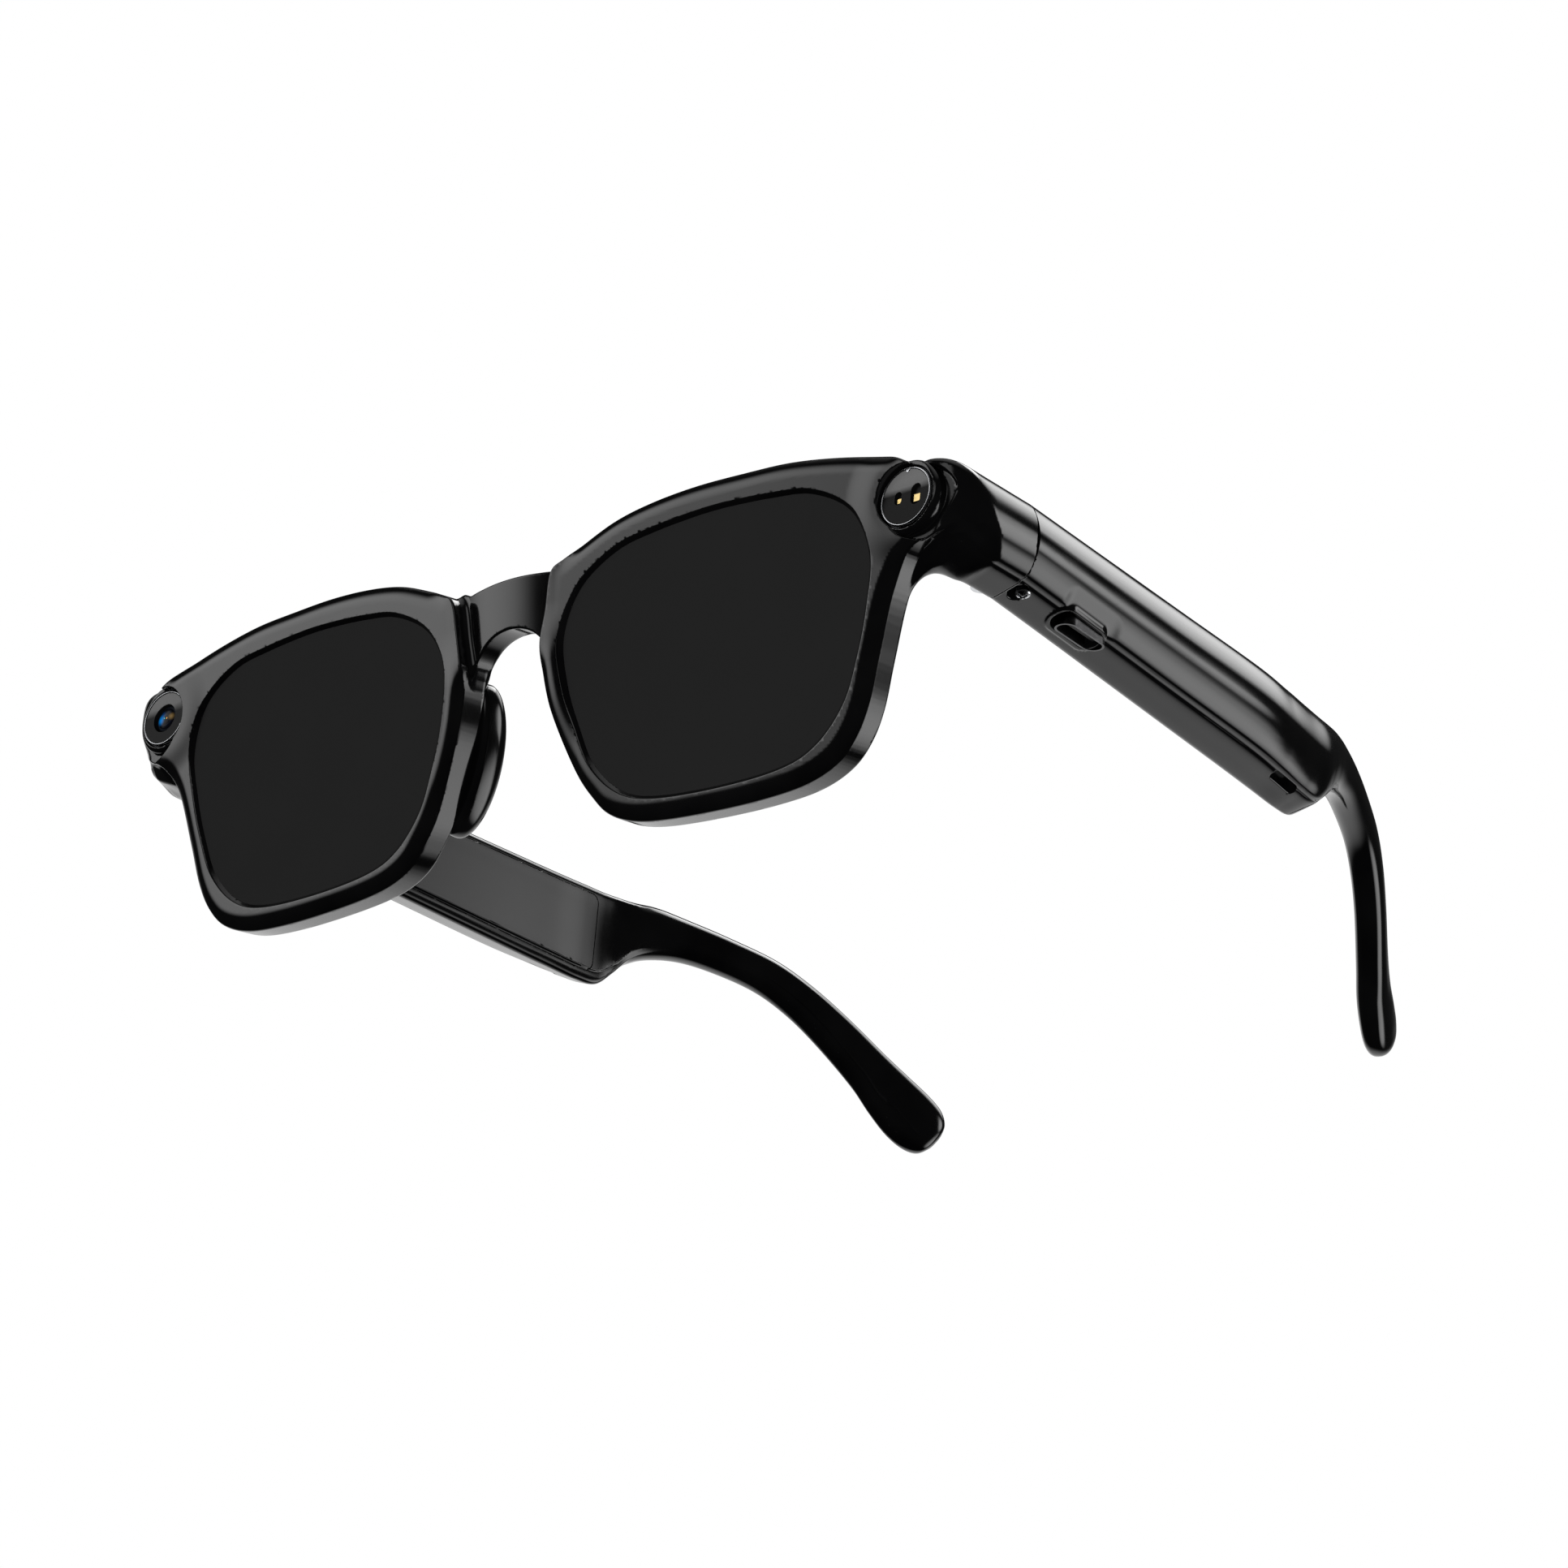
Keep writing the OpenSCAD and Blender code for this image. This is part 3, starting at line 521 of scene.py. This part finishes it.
# ---- The front: rims, bridge, end pieces and module bosses in one moulding ----
rim_line, lens_line, bridge_line = Outline(RIM), Outline(LENS), Outline(BRIDGE)
brow_line, end_line = Outline(BROW_STRIP, 3), Outline(END_SECTION, 14)
BEVEL_WIDTH, BEVEL_DEPTH = 2.4, 0.8
END_OUTER, END_FRONT, END_CORNER = 75.95, -0.45, 7.0
BORE_R, BORE_DEPTH = 4.25, 7.5
BOSS_R, BOSS_DEPTH = 5.0, 8.4
# Room for the hinge's barrel and for its leaves, as radius and as half heights
BARREL_ROOM, BARREL_HALF, LEAF_HALF = 1.6, 5.3, 5.05


def swept(x, y):
    """Distance along and behind one side's plane."""
    c, s = math.cos(WRAP), math.sin(WRAP)
    return LENS_X + (x - LENS_X) * c + y * s, -(x - LENS_X) * s + y * c


def leaned(y, z):
    """Depth and height of lens-frame places in the design frame."""
    c, s = math.cos(LEAN), math.sin(LEAN)
    return y * c - z * s, y * s + z * c


def front_field(p):
    """The moulding, in a frame that leans with the lenses; u, v follow one rim, and ty, tz the level temples."""
    x, y, z = np.abs(p[:, 0]), p[:, 1], p[:, 2]
    u, v = swept(x, y)
    ty, tz = leaned(y, z)
    rim, lens = rim_line(u, z), lens_line(u - LENS_X, z)
    # Rim: the face falls back towards its outer edge, except beside the bridge and at the corners
    beside_bridge = smooth_step((14 - u) / 5) * smooth_step((z - 2) / 6)
    at_corner = smooth_step((u - 64) / 5)
    slope = BEVEL_DEPTH * (1 - beside_bridge) * (1 - at_corner)
    beside_nose = smooth_step((13 - u) / 5) * smooth_step((12 - z) / 8)
    face = FACE + slope * np.clip(1 + rim / BEVEL_WIDTH, 0, 1) ** 2 - 0.45 * beside_nose
    face = face + 0.06 * np.maximum(u - 66, 0) ** 2
    # Module axis: the face rises to the boss
    r, depth = np.hypot(x - DISC_X, tz - DISC_Z), ty - DISC_Y
    face = face - 0.3 * smooth_step((9.5 - r) / 4.5)
    solid = both(both(rim + 0.9 * at_corner, face - v, 0.3), v - BACK, 0.5)
    bridge_face = -0.4 + 0.8 * (x / 7.5) ** 2
    bridge = both(both(bridge_line(x, z), bridge_face - y, 0.3), y - 3.6, 0.6)
    solid = either(solid, bridge, 1.2)
    # End piece: the section of the temple carried forward to a big round corner
    corner = both(x - END_OUTER, END_FRONT - ty, END_CORNER)
    end = both(end_line(x, tz), corner, 0.9)
    arch = (5 + 0.515 * (x - 66.6) - 0.6 * np.maximum(ty - 2.5, 0) - tz) / 1.25
    end = both(end, arch, 1 + 4 * smooth_step((11 - ty) / 8))
    fillet = 0.3 + 6.2 * smooth_step((ty - 1.5) / 3) * smooth_step((11 - tz) / 5)
    solid = either(solid, end, fillet)
    solid = both(solid, ty - SEAM, 0.2)
    # Module: a shallow recess on the temple side, the boss in it, and the bore for the ring
    recess = both(np.hypot(x - DISC_X - 1.9, tz - DISC_Z + 0.9) - BOSS_R, depth - 1.3 - 0.12 * (x - DISC_X), 0.3)
    solid = without(solid, recess, 0.2)
    boss_edge = 0.25 + 0.6 * smooth_step((x - DISC_X - tz + DISC_Z + 3) / 6)
    boss = both(both(r - BOSS_R, 0.08 - depth, boss_edge), depth - BOSS_DEPTH, 0.9)
    solid = either(solid, boss, 0.1 + 0.6 * smooth_step((ty - 3) / 2))
    solid = without(solid, np.maximum(r - BORE_R, depth - BORE_DEPTH), 0.12)
    # Lens opening with its bevel, cable channel, hinge room
    opening = lens - 0.9 * np.clip(0.05 - v, 0, 0.6)
    solid = without(solid, opening, 0.12)
    solid = without(solid, np.maximum(brow_line(u, z), 2.4 - v), 0.1)
    barrel = np.maximum(np.hypot(x - HINGE_X, ty - HINGE_Y) - BARREL_ROOM, np.abs(tz - HINGE_Z) - BARREL_HALF)
    solid = without(solid, barrel, 0.1)
    leaf = np.maximum.reduce([np.abs(x - 66.7) - 1.35, np.abs(ty - 11.4) - 3.9, np.abs(tz - HINGE_Z) - LEAF_HALF])
    return without(solid, leaf, 0.1)


def lean_back(points):
    """Lens-frame points as design-frame points."""
    c, s = math.cos(LEAN), math.sin(LEAN)
    return np.column_stack([points[:, 0], points[:, 1] * c - points[:, 2] * s, points[:, 1] * s + points[:, 2] * c])


def build_front():
    step = 0.38
    points, faces, g = surface(front_field, (-78, -3.2, -23.2), (78, 19, 24.2), step)
    obj = add_piece("front_moulding", lean_back(points), faces, "front", GLOSS, lean_back(g))
    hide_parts("front_frame")


PAD_U, PAD_V, PAD_Z = 11.3, 5.8, -4.2


def pad_field(p):
    """A long smooth bulge behind the nasal wall, leaning with it."""
    x, y, z = p.T
    u, v = swept(x, y)
    along = np.array([-5, 16]) / math.hypot(5, 16)
    du, dz = u - PAD_U, z - PAD_Z
    q = np.stack([du * along[1] - dz * along[0], v - PAD_V, du * along[0] + dz * along[1]], -1)
    # Across, in depth (deeper on the rim's side, where it is sunk in) and along
    radii = np.stack([np.full(len(v), 3.8), np.where(v < PAD_V, 7.0, 3.9), np.full(len(v), 10.4)], -1)
    k0, k1 = np.linalg.norm(q / radii, axis=1), np.linalg.norm(q / radii ** 2, axis=1)
    pad = k0 * (k0 - 1) / np.maximum(k1, 1e-6)
    pad = both(pad, 3.7 - v, 0.8)
    return without(pad, lens_line(u - LENS_X, z) - 0.5, 0.4)


def build_pads():
    points, faces, g = surface(pad_field, (3, 1, -19), (22, 12, 7), 0.35)
    points, g = lean_back(points), lean_back(g)
    for side in ("left", "right"):
        if side == "right":
            points, faces, g = mirrored(points, faces, g)
        obj = add_piece("pad_" + side, points, faces, "front", GLOSS, g)
        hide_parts("nose_pad_" + side)


# ---- Temples, shaped straight and then bent along their line ----
TEMPLE_TOP = 18.0


def body_station(y, low):
    """A station of the hollow body, which widens slightly and sinks slightly towards the back."""
    inner, top = 67.6 - (y - 15) * math.tan(TOE_IN), TEMPLE_TOP - 0.006 * (y - 15)
    outer = inner + BODY_T + 0.006 * (y - 15)
    return [(inner + outer) / 2, y, (low + top) / 2, outer - inner, top - low, 0, 0, 0]


# x, y, z of the middle, thickness, height, dip, turn, and 0 for the hollow part to 1 for the hook
STATIONS = np.array([
    body_station(TEMPLE_START, 4.9), body_station(16, 4.9), body_station(30, 4.4), body_station(50, 3.6),
    body_station(68, 2.9), [67.1, 76, 10.1, 8, 15, 0, 0, 0], [66.25, 82, 10, 7.2, 15.2, 0, 3, 0.05],
    [65.6, 86, 10.2, 6.7, 14.8, 0, 8, 0.2], [64.75, 89, 11.5, 6, 12.6, 0, 13, 0.45],
    [63.6, 92, 13, 5.5, 10, 2, 18, 0.75],
    [62.1, 95.5, 14, 5.3, 8.2, 4, 22, 0.9], [60.1, 100.7, 14.2, 5, 6.5, 8, 22, 1],
    [57.6, 106.6, 13.5, 4.8, 5.9, 17, 23, 1], [54.7, 113.1, 12, 4.6, 5.9, 26, 24, 1],
    [52.1, 118.4, 9.3, 4.5, 6.1, 35, 27, 1], [49.4, 123.3, 5.5, 4.4, 6.6, 40, 30, 1],
    [46.2, 128.6, 0.4, 4.4, 7.5, 43, 28, 1], [44.4, 131.7, -2.8, 4.5, 8.9, 42, 24, 1],
    [43.1, 134.5, -5.2, 4.5, 9.7, 40, 22, 1], [42.1, 136.8, -6.9, 4.2, 9.2, 38, 20, 1],
    [41.5, 138.4, -8, 3.4, 6.8, 36, 20, 1], [41.2, 139.2, -8.5, 1.4, 2.8, 36, 20, 1]], float)
SPANS = len(STATIONS) - 1
FINE_T = np.linspace(0, SPANS, 40 * SPANS + 1)
FINE = open_curve(STATIONS, FINE_T)
FINE_L = np.concatenate([[0], np.cumsum(np.linalg.norm(np.diff(FINE[:, :3], axis=0), axis=1))])
LENGTH = FINE_L[-1]
BODY_SECTION = (SECTION - 0.5) * (BODY_T, BODY_H)
HOOK_ANGLE = np.linspace(0, 2 * math.pi, 128, endpoint=False)
HOOK_SECTION = np.column_stack([np.sign(f) * np.abs(f) ** (2 / 2.4) * half
    for f, half in ((np.cos(HOOK_ANGLE), HOOK_T / 2), (np.sin(HOOK_ANGLE), HOOK_H / 2))])
body_line, hook_line = Outline(BODY_SECTION, 4, 0.1), Outline(HOOK_SECTION, 4, 0.15)


def at_length(length):
    """Station values at a length along the temple, carried straight on past its ends."""
    t = np.interp(length, FINE_L, FINE_T)
    q = open_curve(STATIONS, t)
    over = length - np.clip(length, 0, LENGTH)
    q[:, 1] += over
    return q


def bend(points):
    """Straight temple points (length, out, up) as design-frame points."""
    q = at_length(points[:, 0])
    d, t = np.radians(q[:, 5]), np.radians(q[:, 6])
    across = np.stack([np.cos(t), np.sin(t), np.zeros(len(t))], -1)
    up = np.stack([-np.sin(t) * np.sin(d), np.cos(t) * np.sin(d), np.cos(d)], -1)
    return q[:, :3] + points[:, 1:2] * across + points[:, 2:3] * up


def bend_normals(points, g):
    """Field gradients at straight temple points, turned as bend turns the surface."""
    e = 0.02
    j = [(bend(points + s) - bend(points - s)) / (2 * e) for s in np.eye(3) * e]
    return sum(g[:, k:k + 1] * np.cross(j[(k + 1) % 3], j[(k + 2) % 3]) for k in range(3))


# Places in the temples, as length from the seam and distance out from the middle, and opening sizes
PORT_L, PORT_A, PORT_LONG, PORT_WIDE = 14.3, 0.5, 9.04, 3.26
BUTTON_L, BUTTON_A, BUTTON_LONG, BUTTON_WIDE = 13.8, 0.05, 8.24, 3.24
SLOT_L, SLOT_A, SLOT_LONG, SLOT_WIDE = 64.0, 0.8, 6, 1.3
SCREW_L, SCREW_A, SCREW_WELL_R = 2.2, -0.15, 1.4


def section_field(p, q):
    """The outside of the temple: the body's section, fading into the hook's."""
    body = body_line(p[:, 1] / q[:, 3] * BODY_T, p[:, 2] / q[:, 4] * BODY_H)
    hook = hook_line(p[:, 1] / q[:, 3] * HOOK_T, p[:, 2] / q[:, 4] * HOOK_H)
    blend = smooth_step(q[:, 7])
    return (1 - blend) * body + blend * hook


COVER_L, COVER_HALF = 40.2, 30.2


def cover_region(p, q, grow):
    """Where the inner cover lies: a thin slab behind the inner face, with round ends."""
    length, a, b = p.T
    low, high = -q[:, 4] / 2 + 1.7, q[:, 4] / 2 - 1.5
    middle, half = (low + high) / 2, (high - low) / 2
    flat = both(np.abs(length - COVER_L) - COVER_HALF, np.abs(b - middle) - half, 1.4) - grow
    return np.maximum(flat, a - (-q[:, 3] / 2 + 0.95))


def temple_field(p, side):
    """One temple's shell with its openings, hollow and hinge room, laid out straight."""
    q = at_length(p[:, 0])
    length, a, b = p.T
    bottom = -q[:, 4] / 2
    solid = section_field(p, q)
    solid = both(solid, -length, 0.3)
    solid = both(solid, length - LENGTH + 0.1, 0.6)
    # Charging socket below the left temple: a scoop on the outside, a raised lip and the opening
    if side == "left":
        port = stadium(length - PORT_L, a - PORT_A, PORT_LONG, PORT_WIDE)
        wall = PORT_A + PORT_WIDE / 2 + 0.85
        scoop = both(both(np.abs(length - PORT_L - 0.3) - 6.2, wall - a, 2.0), b - bottom - 3.3, 2.2)
        solid = without(solid, scoop, 1.3)
        underside = bottom + 0.29 * (a + q[:, 3] / 2) - 0.5
        lip = both(both(port - 0.62, underside - b, 0.15), b - bottom - 3.5, 0.3)
        solid = either(solid, lip, 0.3)
        solid = without(solid, np.maximum(port, b - bottom - 6.9), 0.15)
    # Well of the capture button on top of the right temple
    if side == "right":
        well = stadium(length - BUTTON_L, a - BUTTON_A, BUTTON_LONG, BUTTON_WIDE)
        solid = without(solid, np.maximum(well, -b + q[:, 4] / 2 - 2.4), 0.15)
    # Screw well and speaker slot below both
    screw = np.maximum(np.hypot(length - SCREW_L, a - SCREW_A) - SCREW_WELL_R, b - bottom - 1.6)
    solid = without(solid, screw, 0.15)
    slot = np.maximum(stadium(length - SLOT_L, a - SLOT_A, SLOT_LONG, SLOT_WIDE), b - bottom - 2.6)
    solid = without(solid, slot, 0.12)
    solid = without(solid, cover_region(p, q, 0.01), 0.02)
    hollow = np.maximum.reduce([np.abs(length - 25.2) - 28.9, np.abs(a + q[:, 3] / 2 - 3.6) - 2.65,
        np.abs(q[:, 2] + b - 11.7) - 4.05])
    solid = without(solid, hollow, 0.1)
    x, y, z = q[:, 0] + a, TEMPLE_START + length, q[:, 2] + b
    solid = without(solid, np.hypot(x - HINGE_X, y - HINGE_Y) - BARREL_ROOM, 0.1)
    leaf = np.maximum.reduce([a + q[:, 3] / 2 - 0.4, length - 8.85, np.abs(z - HINGE_Z) - LEAF_HALF])
    return without(solid, leaf, 0.1)


def cover_field(p):
    q = at_length(p[:, 0])
    return both(section_field(p, q), cover_region(p, q, -0.01), 0.02)


def build_temple(side, name, field, low, high, cad, step):
    """Adds one piece of a temple, between two corners of its straight layout, in place of a CAD node."""
    points, faces, g = surface(field, low, high, step)
    normals = bend_normals(points, g)
    points = bend(points)
    if side == "right":
        points, faces, normals = mirrored(points, faces, normals)
    obj = add_piece(name, points, faces, "temple_" + side, GLOSS, normals)
    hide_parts(cad)


def build_temples():
    step = 0.36
    for side in ("left", "right"):
        build_temple(side, "temple_moulding_" + side, lambda p: temple_field(p, side), (-1, -5.2, -9),
            (LENGTH + 1, 5.4, 9), "temple_shell_" + side, step)
        build_temple(side, "inner_cover_" + side, cover_field, (8.5, -5.2, -8), (72, -2, 8),
            "temple_cover_" + side, 0.4)


build_front()
build_pads()
build_temples()


# ---- Camera and sensor rings, camera glass, housing screws ----
def lathe(profile, steps=144):
    """Points and faces of a turned part; the profile is a closed loop of radius and height, inside to outside."""
    radius, height = np.array(profile, float).T
    n = len(radius)
    angle = (np.arange(steps) * 2 * math.pi / steps)[:, None]
    points = np.stack([radius * np.cos(angle), radius * np.sin(angle), np.broadcast_to(height, (steps, n))], -1)
    faces = [(i * n + j, i * n + (j + 1) % n, (i + 1) % steps * n + (j + 1) % n, (i + 1) % steps * n + j)
        for i in range(steps) for j in range(n)]
    return points.reshape(-1, 3), faces


def on_module(points, side):
    """Module points (sideways, up, forward) as design-frame points."""
    return np.column_stack([side * (DISC_X + side * points[:, 0]), DISC_Y - points[:, 2], DISC_Z + points[:, 1]])


RING = [(3.74, -2.4), (3.74, 0.0), (3.78, 0.07), (3.84, 0.11), (3.9, 0.11), (3.96, 0.06), (3.99, -0.02), (4.02, -0.4),
    (4.15, -0.5), (4.15, -2.4)]
# The sensor's ring has a small pointed tab that keys the disc: its outline, its two heights and the faces between
TAB = [(-0.5, 3.8), (0, 3.3), (0.5, 3.8)]
TAB_HEIGHTS = (-0.3, 0.06)
TAB_FACES = [(0, 1, 2), (5, 4, 3), (0, 3, 4, 1), (1, 4, 5, 2), (2, 5, 3, 0)]


def build_rings():
    for name, side in (("camera", -1), ("sensor", 1)):
        points, faces = lathe(RING)
        if name == "sensor":
            start = len(points)
            points = np.vstack([points, [(x, y, z) for z in TAB_HEIGHTS for x, y in TAB]])
            faces += [tuple(start + k for k in f) for f in TAB_FACES]
        obj = add_piece(name + "_ring", on_module(points, side), faces, "front", RING_STEEL)
        obj.data.set_sharp_from_angle(angle=math.radians(50))
        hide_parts(name + "_bezel")


def screw_field(p):
    """A domed head, face down, with a cross in it, and the shank above."""
    x, y, z = p.T
    head = both(np.sqrt(x ** 2 + y ** 2 + (z - 0.95) ** 2) - 1.4, np.hypot(x, y) - 1.15, 0.1)
    head = both(head, z - 0.7, 0.1)
    half_width, half_length = 0.16, 0.75
    cross = np.minimum(np.maximum(np.abs(x) - half_width, np.abs(y) - half_length),
        np.maximum(np.abs(y) - half_width, np.abs(x) - half_length))
    head = without(head, np.maximum(cross, z - 0.2), 0.05)
    return either(head, np.maximum(np.hypot(x, y) - 0.65, np.abs(z - 2) - 1.8), 0.05)


SCREW_X, SCREW_Y, SCREW_Z = 71.4, 17.4, 5.75


def build_screws():
    points, faces, g = surface(screw_field, (-1.4, -1.4, -0.7), (1.4, 1.4, 4.1), 0.12, 1)
    for side, sign in (("left", 1), ("right", -1)):
        at = points * (sign, 1, 1) + (sign * SCREW_X, SCREW_Y, SCREW_Z)
        obj = add_piece("screw_" + side, at, faces[:, ::sign], "temple_" + side, STEEL, g * (sign, 1, 1))
        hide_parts("housing_screw_" + side)


build_rings()
build_screws()


# ---- Floor, lights and camera ----
# Soft lights all round: direction, half-angles of the even core and of the faded edge, and brightness
SOFT_BOXES = [
    ((-0.55, 0.78, -0.36), 18, 45, 1.1),
    ((-0.68, -0.60, 0.42), 5, 24, 2.2),
    ((0.645, 0.715, 0.27), 3, 14, 3.6),
    ((0.1, 0.7, 0.70), 5, 22, 3.4),
    ((0.6, 0.72, -0.33), 5, 24, 3.0),
    ((0, 0, 1), 10, 40, 0.6),
    ((-0.9, 0.4, 0.35), 6, 24, 0.6),
    ((0.2, -0.95, 0.5), 4, 16, 1.2),
    ((0, 0, 1), 90, 150, 0.02)]


def build_floor():
    mesh = bpy.data.meshes.new("floor")
    half, drop = 4, -0.7
    mesh.from_pydata([(-half, -half, drop), (half, -half, drop), (half, half, drop), (-half, half, drop)], [],
        [(0, 1, 2, 3)])
    floor = bpy.data.objects.new("floor", mesh)
    bpy.context.scene.collection.objects.link(floor)
    material, tree, shader = new_material("floor_pale")
    colours(tree, shader, noise(tree, 6).outputs["Fac"], [(0.3, (0.86, 0.86, 0.86)), (0.7, (0.9, 0.9, 0.9))])
    shader.inputs["Roughness"].default_value = 0.8
    shader.inputs["Emission Color"].default_value = (1, 1, 1, 1)
    shader.inputs["Emission Strength"].default_value = 0.5
    mesh.materials.append(material)
    # Only seen, so that it neither blocks the soft light from below nor shows in the gloss
    floor.visible_glossy = floor.visible_diffuse = floor.visible_shadow = False


def build_world():
    """White where the camera sees it, and the soft boxes for everything else."""
    world = bpy.data.worlds.new("studio")
    bpy.context.scene.world = world
    world.use_nodes = True
    tree = world.node_tree
    where = tree.nodes.new("ShaderNodeTexCoord")
    seen = tree.nodes.new("ShaderNodeBackground")
    seen.inputs["Color"].default_value = (1, 1, 1, 1)
    total = None
    for direction, core, edge, strength in SOFT_BOXES:
        dot = tree.nodes.new("ShaderNodeVectorMath")
        dot.operation = "DOT_PRODUCT"
        dot.inputs[1].default_value = Vector(direction).normalized()
        tree.links.new(where.outputs["Generated"], dot.inputs[0])
        box = tree.nodes.new("ShaderNodeMapRange")
        box.interpolation_type = "SMOOTHSTEP"
        box.inputs["From Min"].default_value = math.cos(math.radians(edge))
        box.inputs["From Max"].default_value = math.cos(math.radians(core))
        box.inputs["To Max"].default_value = strength
        tree.links.new(dot.outputs["Value"], box.inputs["Value"])
        if total is None:
            total = box.outputs["Result"]
            continue
        add = tree.nodes.new("ShaderNodeMath")
        add.operation = "ADD"
        tree.links.new(total, add.inputs[0])
        tree.links.new(box.outputs["Result"], add.inputs[1])
        total = add.outputs["Value"]
    soft = tree.nodes["Background"]
    soft.inputs["Color"].default_value = (1, 1, 1, 1)
    tree.links.new(total, soft.inputs["Strength"])
    path = tree.nodes.new("ShaderNodeLightPath")
    mix = tree.nodes.new("ShaderNodeMixShader")
    tree.links.new(path.outputs["Is Camera Ray"], mix.inputs["Fac"])
    tree.links.new(soft.outputs["Background"], mix.inputs[1])
    tree.links.new(seen.outputs["Background"], mix.inputs[2])
    tree.links.new(mix.outputs["Shader"], tree.nodes["World Output"].inputs["Surface"])


def add_light(name, place, target, size, power):
    """A rectangular lamp that faces a target; sizes in metres and power in watts."""
    data = bpy.data.lights.new(name, "AREA")
    data.shape = "RECTANGLE"
    data.size, data.size_y = size
    data.energy = power
    light = bpy.data.objects.new(name, data)
    light.location = place
    light.rotation_euler = (Vector(target) - Vector(place)).to_track_quat("-Z", "Y").to_euler()
    bpy.context.scene.collection.objects.link(light)
    return light


# The camera's place in the design frame, and its turn
CAMERA_PLACE = (511.037, -501.985, -312.288)
AZIMUTH, ELEVATION, ROLL = math.radians(41.429), math.radians(-19.794), math.radians(-1.821)
FOCAL_LENGTH = 137.1


def build_camera():
    data = bpy.data.cameras.new("camera")
    data.sensor_width = 36
    data.lens = FOCAL_LENGTH
    data.clip_start, data.clip_end = 0.01, 20
    camera = bpy.data.objects.new("camera", data)
    back = Vector((math.sin(AZIMUTH) * math.cos(ELEVATION), -math.cos(AZIMUTH) * math.cos(ELEVATION),
        math.sin(ELEVATION)))
    right = Vector((math.cos(AZIMUTH), math.sin(AZIMUTH), 0))
    up = back.cross(right)
    turn = Matrix.Rotation(-ROLL, 3, back)
    axes = Matrix((turn @ right, turn @ up, back)).transposed()
    place = to_frame(np.array([CAMERA_PLACE]))[0]
    camera.matrix_world = Matrix.Translation(place.tolist()) @ axes.to_4x4()
    bpy.context.scene.collection.objects.link(camera)
    bpy.context.scene.camera = camera


build_floor()
build_world()
CENTRE = (0, 0, 0.02)
add_light("key", (0.2, 0.9, 1.5), CENTRE, (0.9, 0.5), 6)
add_light("fill", (0.95, -1.1, -0.8), CENTRE, (0.6, 0.6), 36).visible_glossy = False
build_camera()
bpy.context.scene.view_settings.view_transform = "Standard"
